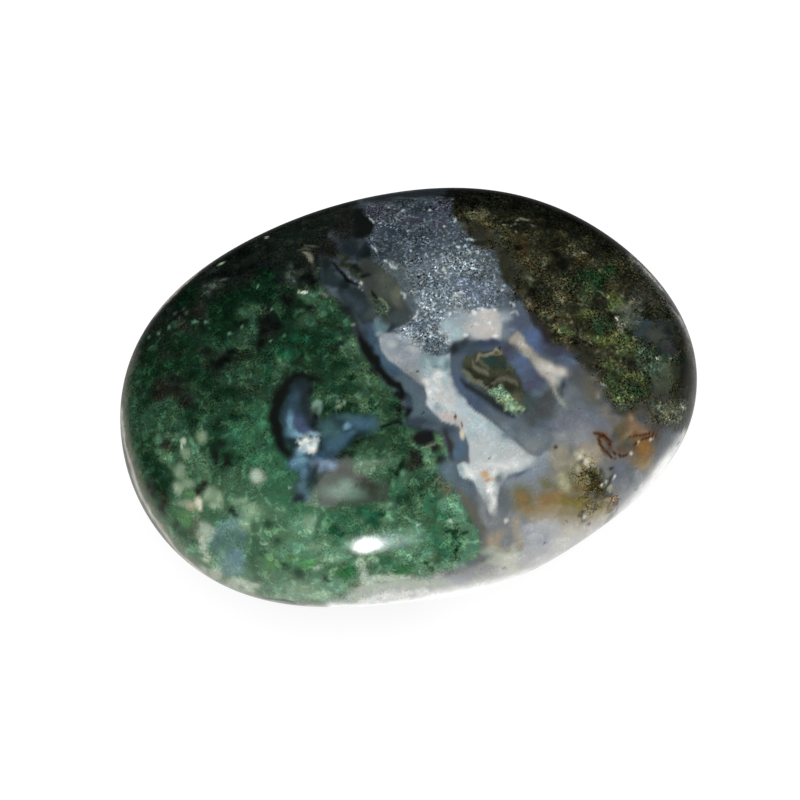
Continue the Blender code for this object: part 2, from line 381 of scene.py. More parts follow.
# The tones of moss and the ovals that each one fills, from the dark upper left down to the front.
MOSS_PATCHES = (
    (SHADE, [
        (285, 245, 20, 14), (325, 244, 14, 16), (340, 225, 22, 14), (300, 228, 30, 14), (335, 258, 8, 8),
        (268, 249, 14, 10), (262, 262, 16, 6), (300, 240, 14, 5), (210, 273, 13, 7, -20),
    ]),
    (INK, [(240, 256, 16, 6, -28), (230, 274, 22, 4, -8), (180, 305, 12, 12, -40), (255, 268, 10, 5)]),
    (SLATE_CRUMBS, [(213, 285, 9, 4, -10), (207, 294, 6, 4)]),
    (NIGHT, [
        (190, 300, 14, 12, -40), (266, 275, 10, 8), (270, 292, 8, 12), (232, 300, 18, 9, -10),
        (222, 314, 16, 10), (240, 318, 16, 9), (245, 292, 12, 7), (258, 299, 9, 7),
    ]),
    (UMBER, [
        (202, 310, 10, 10), (180, 333, 9, 8), (178, 325, 8, 7), (200, 341, 7, 4), (170, 352, 10, 6),
    ]),
    (IVY, [
        (214, 309, 8, 9), (217, 327, 16, 8), (225, 336, 11, 8), (150, 354, 8, 16, -5), (172, 345, 10, 7),
        (260, 286, 10, 8), (290, 290, 6, 8), (250, 303, 8, 6), (188, 342, 12, 8), (150, 375, 12, 12),
        (170, 365, 14, 7), (190, 358, 12, 7),
    ]),
    (FIR, [(277, 303, 7, 8), (283, 312, 5, 5), (207, 339, 9, 6), (213, 346, 8, 5), (228, 345, 8, 6)]),
    (DARK_CRUMBS, [
        (170, 327, 9, 9), (163, 340, 9, 8), (192, 322, 9, 5), (205, 325, 5, 5), (150, 342, 7, 8),
    ]),
    (FERN, [
        (250, 313, 12, 6, -15), (256, 308, 9, 4), (247, 335, 10, 9), (256, 324, 5, 8), (240, 344, 10, 5),
    ]),
    (LEAF, [(247, 313, 6, 4, -20), (256, 309, 5, 2.5)]),
    (INK, [
        (276, 328, 13, 8, -10), (266, 330, 7, 8), (290, 321, 8, 6), (266, 320, 6, 5), (261, 345, 4, 7),
    ]),
    (SLATE_CRUMBS, [
        (296, 272, 10, 6), (290, 276, 5, 5), (304, 268, 5, 4), (316, 274, 4, 8, 5), (319, 284, 3, 5),
        (314, 266, 3, 4), (293, 284, 5, 4),
    ]),
    (INK, [
        (305, 278, 7, 5), (311, 282, 5, 4), (286, 302, 9, 5), (309, 305, 5, 2.5, 15), (300, 264, 8, 3),
    ]),
    (IVY, [
        (290, 314, 10, 6), (300, 303, 6, 4), (280, 345, 7, 6), (300, 330, 14, 8), (289, 340, 12, 9),
        (310, 352, 14, 6),
    ]),
    (LEAF, [(311, 297, 8, 6, 20), (302, 296, 5, 4), (322, 289, 6, 5)]),
    (FERN, [
        (325, 303, 11, 8), (333, 308, 8, 7), (327, 296, 8, 5), (338, 316, 6, 5), (306, 318, 12, 8, -20),
        (320, 314, 8, 5),
    ]),
    (FIR, [(320, 330, 14, 9), (335, 320, 8, 6), (334, 334, 8, 5)]),
    (IVY, [(316, 343, 12, 7), (328, 339, 10, 6), (322, 352, 10, 4)]),
    (FERN, [(348, 326, 5, 8), (344, 336, 8, 5), (352, 334, 4, 5)]),
    (SAGE, [(356, 351, 7, 12, -15), (352, 343, 6, 5), (360, 345, 5, 7)]),
    (LEAF, [
        (360, 368, 8, 10, -25), (352, 362, 6, 8), (345, 352, 5, 6), (368, 380, 18, 6), (352, 374, 8, 6),
    ]),
    (FIR, [(335, 363, 11, 7), (310, 362, 13, 7), (327, 370, 10, 5), (262, 358, 8, 7), (300, 371, 10, 4)]),
    (LAUREL, [(286, 359, 10, 9), (292, 352, 8, 5), (268, 372, 5, 10), (300, 340, 10, 5)]),
    (LEAF, [(278, 373, 5, 11, 15), (284, 366, 5, 5)]),
    (IVY, [(342, 368, 8, 5, -20), (347, 378, 6, 4), (332, 385, 12, 3)]),
    (FIR, [(330, 377, 12, 5), (318, 385, 7, 6), (336, 390, 12, 6), (348, 389, 10, 6)]),
    (LEAF, [(383, 385, 10, 5), (389, 391, 7, 5), (394, 396, 4, 4), (335, 397, 6, 4)]),
    (IVY, [(330, 408, 10, 4), (345, 411, 14, 5), (352, 404, 9, 3), (392, 405, 9, 7), (372, 403, 4, 5)]),
    (FERN, [(378, 402, 10, 6), (374, 393, 10, 5), (383, 412, 10, 6)]),
    (SHADE, [(398, 410, 6, 6), (402, 404, 5, 5)]),
    (LEAF, [(374, 416, 8, 6), (366, 410, 5, 8), (350, 398, 5, 3), (378, 426, 6, 4)]),
    (SAGE, [(361, 398, 6, 4.5), (364, 403, 3, 4)]),
    (FERN, [(390, 440, 14, 10), (403, 440, 8, 12), (385, 452, 10, 6), (372, 446, 8, 5)]),
    (FIR, [(395, 431, 10, 3), (400, 450, 6, 6), (360, 441, 12, 4, -10)]),
    (LEAF, [
        (412, 434, 4, 7), (417, 428, 5, 3), (417, 446, 7, 3, 25), (424, 452, 5, 3),
        (404, 417, 3.5, 6, -20),
    ]),
    (SAGE, [(440, 441, 7, 6), (445, 448, 4, 6), (429, 459, 6, 8), (431, 467, 8, 5)]),
    (UMBER, [(415, 456, 8, 9, 20), (434, 449, 4, 3), (441, 461, 5, 4), (410, 466, 5, 5)]),
    (LEAF, [(395, 460, 6, 9), (405, 478, 8, 7), (386, 460, 5, 8)]),
    (IVY, [(397, 472, 5, 3), (402, 463, 3, 8), (390, 470, 4, 2.5), (418, 489, 6, 3), (387, 487, 3, 5)]),
    (FERN, [(425, 479, 14, 8), (438, 486, 8, 6), (412, 487, 6, 5)]),
    (JADE, [(395, 490, 8, 7), (431, 500, 10, 6)]),
    (FIR, [(402, 500, 10, 5), (408, 497, 5, 5), (395, 503, 8, 4), (437, 500, 5, 3)]),
    (LEAF, [(408, 514, 14, 8), (400, 522, 12, 5), (420, 505, 8, 6)]),
    (MINT, [(447, 505, 11, 7), (442, 503, 5, 4), (452, 498, 8, 4), (457, 517, 8, 8)]),
    (JADE, [(429, 507, 6, 9), (437, 514, 12, 4), (446, 517, 8, 4)]),
    (MINT, [(464, 523, 5, 6), (470, 534, 5, 7)]),
    (DULL, [(447, 489, 6, 8, 30), (440, 480, 5, 6), (454, 474, 6, 8)]),
    (IVY, [
        (145, 402, 9, 8), (190, 412, 12, 5), (235, 418, 12, 3.5), (248, 418, 8, 3.5), (150, 388, 8, 8),
    ]),
    (UMBER, [(170, 390, 17, 10, 10), (160, 396, 10, 6), (186, 399, 10, 6), (165, 444, 8, 6)]),
    (SHADE, [(186, 404, 10, 5), (178, 378, 12, 4), (205, 352, 8, 4)]),
    (IVY, [(208, 386, 14, 10), (195, 375, 10, 8), (228, 394, 14, 7)]),
    (FERN, [(243, 372, 18, 9, -10), (232, 381, 12, 6), (255, 366, 9, 6)]),
    (INK, [(221, 364, 9, 6, -15), (228, 361, 6, 4), (215, 369, 4, 3), (233, 352, 5, 2.5)]),
    (FIR, [(215, 409, 14, 8), (205, 402, 8, 5), (232, 405, 12, 5), (250, 403, 7, 5)]),
    (FERN, [(162, 408, 12, 6), (165, 428, 13, 8), (180, 424, 8, 6), (152, 418, 8, 6)]),
    (FIR, [(192, 421, 9, 6), (150, 440, 8, 8), (215, 430, 10, 8), (222, 442, 6, 5)]),
    (JADE, [
        (262, 420, 9, 14), (258, 406, 8, 5), (270, 440, 5, 8), (246, 436, 16, 11, -10), (240, 445, 12, 8),
        (256, 430, 9, 8), (232, 428, 6, 4), (258, 460, 20, 8), (275, 455, 10, 8), (275, 470, 9, 6),
        (282, 462, 6, 6),
    ]),
    (IVY, [(222, 456, 13, 11), (226, 466, 9, 7), (212, 446, 6, 8)]),
    (SHADE, [(226, 462, 4, 8), (214, 456, 4, 6), (221, 445, 4, 3)]),
    (FERN, [(220, 458, 3, 5)]),
    (LEAF, [(240, 486, 16, 9), (228, 480, 10, 8), (232, 472, 10, 5), (260, 492, 14, 6)]),
    (JADE, [
        (275, 485, 12, 8), (290, 478, 6, 10), (280, 498, 14, 6), (300, 512, 14, 7), (248, 476, 5, 4),
    ]),
    (IVY, [(158, 470, 9, 14, -10), (160, 486, 10, 9), (148, 462, 7, 10), (168, 482, 4, 8)]),
    (SAGE, [
        (168, 458, 4, 9, -35), (161, 452, 4, 3), (158, 440, 5, 4), (172, 436, 7, 3),
        (198, 462, 8, 12, -15), (193, 448, 5, 6), (205, 475, 6, 7),
    ]),
    (UMBER, [(163, 505, 6, 12), (150, 488, 6, 8), (199, 490, 5, 6), (203, 484, 4, 4)]),
    (LEAF, [(172, 512, 7, 6), (210, 515, 12, 6), (222, 520, 10, 5), (245, 500, 8, 6)]),
    (FRESH, [(183, 514, 9, 5), (184, 523, 7, 5), (188, 495, 7, 4)]),
    (DULL, [(197, 521, 4, 9), (193, 532, 5, 5)]),
    (FERN, [(184, 535, 9, 7), (192, 545, 8, 6), (176, 527, 6, 5)]),
    (SAGE, [(190, 550, 8, 7), (197, 558, 8, 6), (180, 542, 4, 5), (202, 565, 6, 4)]),
    (MIST, [(230, 527, 12, 8), (218, 533, 8, 6), (240, 520, 8, 6)]),
    (PALE, [(250, 513, 10, 8), (245, 527, 5, 8), (238, 503, 8, 4)]),
    (FOG, [(226, 540, 14, 7), (240, 538, 7, 8), (217, 548, 7, 9), (212, 541, 4, 6)]),
    (MIST, [(234, 555, 12, 9), (228, 563, 10, 6)]),
    (MIST, [(230, 570, 13, 6)]),
    (PALE, [(212, 572, 8, 6, -20), (200, 571, 5, 4)]),
    (CHALK, [(206, 534, 7, 8), (204, 547, 4, 8), (206, 557, 4, 5), (203, 540, 5, 5)]),
    (LEAF, [(254, 545, 5, 18), (256, 570, 5, 14)]),
    (CHALK, [(235, 584, 14, 5), (253, 585, 7, 5), (246, 590, 8, 4), (214, 574, 7, 6), (204, 570, 5, 4)]),
    (SAGE, [(276, 536, 9, 10), (270, 548, 8, 8), (266, 560, 7, 8), (288, 534, 8, 8)]),
    (FERN, [(267, 525, 5, 5), (278, 541, 5, 4), (284, 565, 5, 4), (263, 552, 3, 5), (285, 522, 4, 4)]),
    (MINT, [(303, 524, 11, 9), (296, 548, 14, 8), (312, 540, 8, 8), (288, 552, 8, 5)]),
    (PALE, [(311, 525, 6, 7), (318, 547, 8, 5)]),
    (LEAF, [(318, 530, 4, 12), (322, 518, 6, 5)]),
    (JADE, [(344, 519, 12, 8), (330, 518, 8, 6), (355, 530, 9, 5), (335, 540, 7, 5)]),
    (LAUREL, [
        (334, 529, 7, 6), (341, 534, 5, 3), (372, 514, 11, 7, 10), (374, 522, 8, 6), (362, 511, 6, 4),
    ]),
    (SAGE, [(386, 505, 8, 4), (380, 499, 6, 3), (388, 518, 5, 8)]),
    (MINT, [(328, 552, 14, 7), (300, 560, 10, 5), (342, 558, 9, 4), (345, 545, 8, 4)]),
    (PALE, [(360, 563, 8, 4), (372, 558, 6, 4), (318, 567, 4, 3)]),
    (SAGE, [(283, 575, 10, 7), (372, 568, 8, 5), (330, 568, 8, 5)]),
    (FERN, [(300, 573, 7, 6, 30)]),
    (FRESH, [(270, 563, 6, 5), (290, 558, 5, 3)]),
    (GRASS, [(309, 563, 7, 4.5), (303, 560, 4, 3)]),
    (HOLLY, [(345, 575, 8, 7), (350, 567, 5, 4)]),
    (MINT, [(278, 586, 16, 6), (335, 588, 12, 5), (318, 583, 6, 4)]),
    (PALE, [(300, 589, 14, 6), (330, 559, 10, 5)]),
    (PALE, [(310, 596, 22, 4), (288, 597, 14, 3)]),
    (JADE, [(387, 561, 10, 5, 15), (395, 568, 8, 4)]),
    (HOLLY, [(401, 571, 8, 6), (408, 566, 6, 4)]),
    (CHALK, [(382, 579, 16, 4), (368, 583, 6, 6), (400, 579, 8, 3), (362, 576, 4, 13), (364, 590, 5, 5)]),
    (MINT, [
        (420, 549, 12, 7), (410, 541, 9, 5), (405, 556, 8, 5), (415, 560, 8, 4), (402, 532, 14, 6),
        (418, 533, 10, 5),
    ]),
    (JADE, [(441, 541, 13, 8), (446, 553, 9, 6), (436, 530, 10, 5)]),
    (LEAF, [(455, 560, 6, 5), (440, 562, 8, 4), (470, 520, 4, 5)]),
    (MINT, [(472, 548, 6, 11), (467, 562, 9, 5), (452, 568, 12, 4), (478, 560, 5, 5)]),
)
lay_patches(MOSS_PATCHES, 0.7, WAVY, 0.5, green_cover)

# it is a little lighter towards the front, partly its own tone and partly painted light from the front, a
# little lighter round the middle, and smoother where it lies deep in the clear agate
LIGHT_TOP, SMOOTH_TOP, SMOOTH_RIGHT = 410, 420, 400  # pixels, where each begins or ends
LIGHT_MIDDLE = [(322, 345, 36, 34)]
lighten(0.2 * green_cover * eased((pixel_y - LIGHT_TOP) / 90))
lighten(0.16 * green_cover * spots(LIGHT_MIDDLE, 0.9))
smooth = green_cover * eased((pixel_y - SMOOTH_TOP) / 80)
smooth = smooth * (0.45 + 0.55 * eased((SMOOTH_RIGHT - pixel_x) / 120))
paint[:, DARK_SHARE] *= 1 - 0.85 * smooth
paint[:, GRIT] *= 1 - 0.55 * smooth

# the crumbs and hollows that stand out one by one
MINT_TONGUE = [(312, 402), (316, 399), (321, 402), (322, 410), (319, 418), (314, 414), (311, 408)]
BLACK_WEDGE = [(412, 439), (420, 432), (428, 430), (433, 437), (434, 442), (427, 445), (418, 444)]
MOSS_HOLLOWS = (
    (agate(118, 148, 132), patch, MINT_TONGUE, 2, CALM),
    (agate(27, 27, 29), patch, BLACK_WEDGE, 2, WAVY),
    (agate(50, 50, 54), strand, [(446, 433, 3), (451, 445, 3.6), (453, 458, 3.6)], 3, CALM),
    (agate(85, 99, 102), spots, [(448, 470, 8, 8)], 0.8, CALM, 0.3),
    (agate(14, 18, 19), strand, [
        (379, 427, 1.2), (385, 425, 1.5), (391, 422, 1.5), (397, 421, 2), (400, 423, 1.6),
    ], 1.2, CALM),
)
lay_marks(MOSS_HOLLOWS)
CREAM_THREADS = [
    [(304, 253, 0.8), (308, 254, 1.6), (311, 257, 2.4), (312, 261, 1.4)],
    [(320, 292, 0.5), (325, 294.5, 1.1), (328, 297, 0.6)], [(334, 292.5, 0.5), (339, 293, 0.7)],
    [(426, 447, 0.8), (430, 446, 1.4), (434, 445, 0.8)],
]
for thread in CREAM_THREADS:
    lay(agate(116, 116, 102), strand(thread, 1.3, CALM))
GREY_THREADS = [
    [(304, 247, 0.5), (311, 247, 0.8), (318, 247.5, 0.8), (321, 245, 0.5)],
    [(299, 251, 0.5), (304, 249, 0.8), (309, 250, 0.6)],
]
for thread in GREY_THREADS:
    lay(agate(76, 80, 68), strand(thread, 1.0, CALM))

WHITE_CRUMBS = [
    (183, 441, 2.4, 3.4), (181, 447, 1.4, 2.4), (258, 476, 7, 6.5), (221, 264, 3, 1.1, -25),
    (301, 293, 2, 0.9), (353.5, 324.5, 1.8, 1.4), (267, 238, 1.2, 0.9), (290, 487, 1.2, 1.2),
    (260, 535, 1.2, 2), (264, 544.5, 2.2, 1.2), (318, 567, 1.6, 1.4), (278.5, 510, 1, 0.9),
    (418, 526, 2.2, 1.1), (450, 521, 2.4, 1.8),
]
PALE_BLOBS = [
    (180, 471, 5, 8, -5), (187, 484, 7, 4.5, -15), (177.5, 489, 5.5, 6.5), (184, 503, 9, 3.5, -5),
    (185, 453, 5, 4.5), (213, 496, 9, 8), (202, 436, 5, 6), (338, 407, 3.4, 1.8, -20),
    (343, 403, 1.8, 2.6), (337, 402, 2, 1.4),
]
MINT_CRUMBS = [
    (169, 327, 1.4, 2), (158, 333, 1.6, 1.6), (148, 338, 1.2, 1.2), (205, 323, 1.4, 1.6),
    (195, 322, 2, 1.6), (242, 327, 1.2, 1.6), (257, 287, 1.4, 1.2), (271, 341, 1.6, 1.2),
    (285, 335, 1.4, 2), (273, 310, 1.2, 1), (230, 334, 1.6, 1.2), (305, 372, 1.6, 1.6),
    (404, 474, 2.4, 3), (442, 503, 2.4, 2), (426, 457, 2.4, 4), (446, 452, 1.6, 4), (389, 455, 1.6, 1.4),
    (388, 505, 4, 1.4), (402, 507, 2.4, 1.2), (393, 484, 1.4, 2.6), (270, 459, 1.8, 1.2),
    (202, 402, 1.2, 1.2),
]
GREY_CRUMBS = [
    (176, 313, 1.8, 1.2), (187, 313, 1.8, 1.4), (184, 309, 1.6, 0.9), (180, 317, 1, 1),
    (177, 341, 1.6, 0.9), (204, 286, 1.4, 1.8), (212, 288, 3, 1.4), (222, 281, 4, 1.2, -10),
    (349, 316, 1.8, 1.4), (245, 345, 1.4, 1.2),
]
TEAL_HOLLOWS = [
    (449, 531, 4.5, 2.6, 30), (456, 534, 4.5, 3), (464, 534, 3.5, 2.4, -20), (459, 548, 2.4, 5),
    (458, 558, 1.6, 4), (432, 566, 4, 3, 20), (427, 563, 2.4, 1.6), (422, 493, 2.6, 2.2),
    (326, 580, 4, 2.4, 25), (371, 403, 1.8, 2.8, -30), (380, 516, 3, 4), (343, 399, 2, 1.2),
    (435, 571, 2, 2.4), (451, 540, 2, 1.4), (307, 344, 3, 2),
]
MOSS_CRUMBS = (
    (agate(124, 148, 122), spots, PALE_BLOBS, 0.7, CALM, 0.35),
    (agate(144, 166, 140), spots, [
        (207, 495, 3, 6, 20), (216, 506, 7, 2.4), (220, 500, 3, 4), (178, 490, 3.5, 4),
    ], 0.8, CALM, 0.3),
    (agate(172, 190, 172), spots, WHITE_CRUMBS, 0.7, CALM, 0.2),
    (agate(230, 240, 228), spots, [(305.5, 292.5, 2.2, 1.5)], 0.6, CALM, 0),
    (agate(206, 208, 186), spots, [(198, 503, 4, 5, -25), (199, 509, 2.6, 2.4)], 0.7, CALM, 0.3),
    (agate(166, 164, 140), spots, [(190, 506, 4.5, 4)], 0.8, CALM, 0.3),
    (agate(33, 42, 38), spots, [(231, 511, 6, 4, 10), (235, 515, 4, 3.5)], 0.7, CALM, 0.4),
    (agate(106, 138, 146), spots, [(237, 554, 6, 5), (240, 561, 4, 4)], 0.9, CALM, 0.2),
    (agate(92, 134, 108), spots, MINT_CRUMBS, 0.7, CALM, 0.3),
    (agate(72, 80, 72), spots, GREY_CRUMBS, 0.7, CALM, 0.2),
    (moss(20, 54, 36, 0.4), spots, TEAL_HOLLOWS, 0.5, RAGGED, 0.5),
    (SAGE, spots, [
        (378, 584, 2, 1.4), (391, 583, 3, 1.1), (403, 585, 3, 1.1), (416, 580, 2, 1),
    ], 0.6, CALM, 0.3),
)
lay_marks(MOSS_CRUMBS)

# painted reflection over moss: the patch with the outline of the panel's reflection is painted greyer, as
# that reflection, and the moss seen through it is laid in it; the panel lamp's own reflection lightens it too
PANEL_SHEEN_EDGE = [
    (313, 461), (330, 459), (346, 453), (362, 474), (388, 482), (389, 500), (360, 504), (320, 508),
]
MOSS_AND_PANEL_SHEEN = (
    (moss(62, 76, 65, 0.2, 0, 0.1), patch, PANEL_SHEEN_EDGE, 2, CALM),
    (moss(54, 56, 47, 0.2, 0, 0.1), spots, [
        (368, 487, 9, 7), (358, 476, 16, 3.5, 22), (340, 470, 8, 4),
    ], 0.8, CALM, 0.2),
    (moss(108, 134, 118, 0.15, 0, 0.05), spots, [(343, 492, 19, 8), (346, 486, 8, 7)], 0.7, CALM, 0.2),
    (SAGE, spots, [(368, 466, 13, 8), (379, 472, 6, 8, 20), (361, 458, 8, 5)], 0.7, WAVY, 0.5),
)
lay_marks(MOSS_AND_PANEL_SHEEN)

# The blue pool in the moss
# A pool of clear blue chalcedony, shaped like a Y, with a white crumb where its arms meet. It is deep, so its
# edge is nearly black.

COAL = agate(19, 23, 21)
DEEP_SLATE = agate(36, 45, 49)
DEEP_TEAL = agate(40, 60, 64)
SLATE_BLUE = agate(50, 70, 83)
TEAL = agate(62, 92, 95)
POOL_BLUE = agate(64, 94, 112)
INDIGO = agate(54, 80, 104)
VIOLET_BLUE = agate(72, 85, 114)
SKY = agate(80, 115, 134)
LIGHT_SKY = agate(108, 149, 167)
PALE_SKY = agate(138, 168, 184)
DUSTY_BLUE = agate(120, 141, 163)
GREY_TEAL = agate(80, 108, 117)

POOL_RIM = [
    (322, 379, 1.5), (312, 379, 4), (300, 379, 6), (289, 384, 7), (281, 394, 8), (277, 407, 7),
    (275, 420, 7), (277, 434, 7), (282, 446, 6), (291, 456, 3.5),
]
POOL_EDGE = [
    (290, 384), (300, 382), (310, 384), (312, 396), (309, 406), (314, 418), (322, 430), (326, 420),
    (336, 415), (350, 414), (364, 414), (376, 420), (376, 432), (362, 438), (350, 446), (342, 454),
    (338, 462), (330, 472), (316, 472), (314, 484), (312, 496), (304, 504), (294, 504), (291, 490),
    (298, 478), (296, 468), (288, 464), (292, 452), (284, 440), (282, 424), (284, 405),
]
CRUMB_EDGE = [
    (301, 439), (304, 435), (307, 435), (310, 439), (314, 441), (319, 441), (319, 450), (316, 454),
    (308, 456), (302, 453), (299, 449), (298, 443),
]

lay(COAL, strand(POOL_RIM, 4))
lay(agate(32, 50, 52), patch(POOL_EDGE, 5))
POOL_PATCHES = (
    (COAL, [(316, 424, 7, 9), (318, 415, 4, 6), (309, 391, 5, 6)]),
    (DEEP_SLATE, [(300, 388, 9, 5), (306, 402, 5, 11, -5), (309, 417, 5, 11)]),
    (SLATE_BLUE, [(295, 399, 6, 9), (292, 410, 7, 8), (287, 421, 5, 10)]),
    (VIOLET_BLUE, [(300, 423, 8, 7, 20), (307, 430, 7, 4, 20)]),
    (SKY, [(291, 418, 3.5, 6), (289, 429, 5, 5)]),
    (LIGHT_SKY, [(291, 424, 3, 5), (296, 433, 7, 3.6, 35)]),
    (PALE_SKY, [(303, 436, 6, 2.6, 20), (314, 434.5, 6, 2.8, -10)]),
    (TEAL, [(328, 429, 9, 9), (337, 435, 9, 7), (350, 420, 14, 5, -5), (371, 424, 6, 8)]),
    (POOL_BLUE, [
        (359, 424, 9, 5, -10), (367, 424, 5, 4), (351, 434, 7, 3, -30), (342, 440, 10, 5, -40),
        (332, 446, 8, 6),
    ]),
    (DEEP_TEAL, [(341, 422, 6, 3, 10), (334, 418, 4, 2)]),
    (LIGHT_SKY, [(348, 427, 3.2, 2, -20)]),
    (SKY, [(297, 461, 9, 6, -20), (305, 465, 6, 4)]),
    (LIGHT_SKY, [(300, 453, 5, 5), (301, 461, 6, 2.5, 20), (292, 461, 3, 2)]),
    (INDIGO, [(313, 457, 8, 2.5, -10), (325, 455, 9, 4)]),
    (SLATE_BLUE, [(331, 455, 7, 5), (308, 473, 4, 7), (304, 481, 5, 6)]),
    (DUSTY_BLUE, [(319, 465, 7, 5), (327, 464, 8, 4)]),
    (GREY_TEAL, [(301, 488, 6, 8), (306, 495, 4, 6), (303, 476, 3, 4)]),
    (SKY, [(302, 472, 2.5, 5)]),
    (DEEP_SLATE, [(295, 499, 5, 4), (316, 478, 2.5, 12, -8)]),
)
lay_patches(POOL_PATCHES)
POOL_MARKS = (
    (agate(188, 202, 203, 0.3), patch, CRUMB_EDGE, 1.4, RAGGED),
    (agate(238, 241, 230), spots, [
        (306, 441, 3, 1.8, 30), (312.5, 449, 3.5, 4), (308, 447, 1.8, 3), (300.5, 443, 1.8, 1.1),
    ], 0.8, CALM, 0.3),
    (agate(156, 181, 188), spots, [
        (310.5, 443.5, 1.8, 1.6), (303, 449, 2.6, 3), (317, 445, 1.4, 2),
    ], 0.8, CALM, 0.3),
    (moss(27, 42, 30, 0.5), spots, [(361, 441, 14, 4, -14), (347, 455, 8, 4, -20)], 0.6),
)
lay_marks(POOL_MARKS)

# The blue-grey ground of the vein
# Clear chalcedony, blue where it is deep and milky where it is thin. It runs from the upper left, beside the
# seam, down to the lower right, and every other marking of the vein lies in it.

VEIN_EDGE = [
    (322, 258), (330, 240), (340, 222), (366, 200), (385, 262), (410, 310), (450, 345), (520, 300),
    (545, 345), (575, 350), (600, 385), (640, 415), (690, 395), (760, 430), (720, 560), (560, 640),
    (440, 650), (425, 590), (455, 572), (484, 550), (477, 528), (466, 512), (452, 478), (447, 440),
    (430, 430), (412, 425), (402, 400), (390, 386), (372, 366), (360, 345), (354, 322), (340, 300),
    (324, 288),
]
CHANNEL_EDGE = [
    (321, 262), (330, 262), (340, 274), (350, 284), (364, 290), (372, 304), (374, 320), (364, 326),
    (354, 318), (342, 302), (336, 290), (322, 288),
]
BLACK_SPUR = [
    (356, 206), (366, 208), (372, 216), (376, 223), (370, 230), (364, 239), (357, 238), (352, 224),
]
BLACK_BANK = [
    (361, 338, 1.5), (365, 346, 4), (369, 356, 5), (376, 367, 4.5), (384, 374, 4), (392, 382, 4.5),
    (400, 390, 4), (406, 398, 3),
]

VEIN_MARKS = (
    (agate(84, 94, 104), patch, VEIN_EDGE, 3.5),
    (moss(30, 32, 30, 0.4), spots, [
        (330, 250, 13, 14), (350, 224, 18, 22, 10), (366, 226, 9, 14, 10),
    ], 0.5, WAVY, 0.3),
    (agate(32, 41, 45), spots, [(350, 248, 12, 10), (362, 254, 9, 9)], 0.6, WAVY, 0.2),
    (agate(22, 30, 32), spots, [(367, 250, 6, 12, -10), (372, 262, 6, 4)], 0.7, WAVY, 0.2),
    (moss(72, 80, 78, 0.4), spots, [(382, 268, 9, 3.5, 15), (377, 262, 5, 3)], 0.8, WAVY, 0.3),
    (COAL, patch, BLACK_SPUR, 3),
    (agate(39, 50, 53), patch, CHANNEL_EDGE, 4),
    (agate(54, 66, 72), spots, [
        (357, 306, 8, 6, 45), (350, 298, 6, 4, 45), (366, 315, 5, 6, 40),
    ], 0.9, WAVY, 0),
    (agate(27, 35, 35), spots, [
        (345, 309, 7, 4, 50), (326, 265, 5, 6), (345, 286, 4, 4, 30),
    ], 0.8, WAVY, 0.3),
    (agate(60, 81, 98), strand, [
        (368, 330, 6), (374, 345, 7), (381, 357, 8), (392, 367, 8), (406, 374, 7),
    ], 4, CALM),
    (agate(72, 95, 112), strand, [(377, 346, 3), (383, 357, 4), (392, 365, 4), (402, 370, 3)], 3, CALM),
    (agate(84, 101, 110), strand, [(402, 382, 8), (410, 394, 9), (416, 408, 10), (432, 420, 8)], 5, CALM),
    (agate(34, 40, 40), strand, [
        (346, 312, 2), (356, 324, 2), (361, 334, 4), (366, 348, 6), (372, 360, 6),
    ], 4, WAVY),
    (COAL, strand, BLACK_BANK, 2.5, WAVY),
    (COAL, spots, [(399, 397, 9, 4, 10), (407, 411, 5, 5), (398, 386, 5, 4, 40)], 0.6, WAVY, 0.2),
    (agate(54, 67, 78), spots, [(408, 402, 4, 6), (420, 424, 14, 5, 5), (446, 432, 8, 6)], 0.8, WAVY, 0),
    (agate(50, 52, 54), strand, [(445, 433, 2.5), (450, 445, 3.4), (452, 459, 3)], 3, WAVY),
    (agate(80, 104, 124), spots, [(461, 446, 5, 10), (458, 454, 4, 6)], 0.8, WAVY, 0.2),
    (agate(92, 112, 122), spots, [(448, 470, 8, 9), (462, 486, 8, 8)], 0.9, WAVY, 0.2),
    (agate(96, 98, 86), strand, [(458, 488, 3), (466, 503, 4), (474, 518, 3)], 4, WAVY),
)
lay_marks(VEIN_MARKS)

# The olive moss
# Fine olive, golden and green crumbs fill the upper right, in smooth, nearly black agate. A grey window and a
# few pale tufts lie in it near the right end.


def olive(red, green, blue, contrast=1.0, pits=0.2):
    """Finely speckled moss of one mean colour."""
    return moss(red, green, blue, contrast, pits, 0.9)


RAVEN = olive(23, 24, 18)
SOOT = olive(36, 38, 28)
BARK = olive(50, 51, 36)
KHAKI = olive(64, 64, 46)
STRAW = olive(86, 86, 62)
LICHEN = olive(83, 94, 58)
PINE = olive(30, 54, 32)
THYME = olive(56, 72, 48)
TEAL_LICHEN = olive(66, 82, 66)
ASH = olive(92, 97, 82, 1.2, 0.25)
PEARL = moss(94, 102, 87, 0.6, 0.08, 0.6)
FLINT = moss(75, 80, 71, 0.6, 0.08, 0.6)
GRAVEL = moss(55, 56, 48, 0.6, 0.1, 0.6)
JET = agate(15, 15, 13)
CHARCOAL = agate(35, 35, 29)
SMOKE = agate(46, 47, 38)
TAUPE = agate(60, 60, 49)
DUSK = agate(58, 64, 61)
MOONSTONE = agate(67, 71, 65)
LODEN = agate(72, 80, 66)

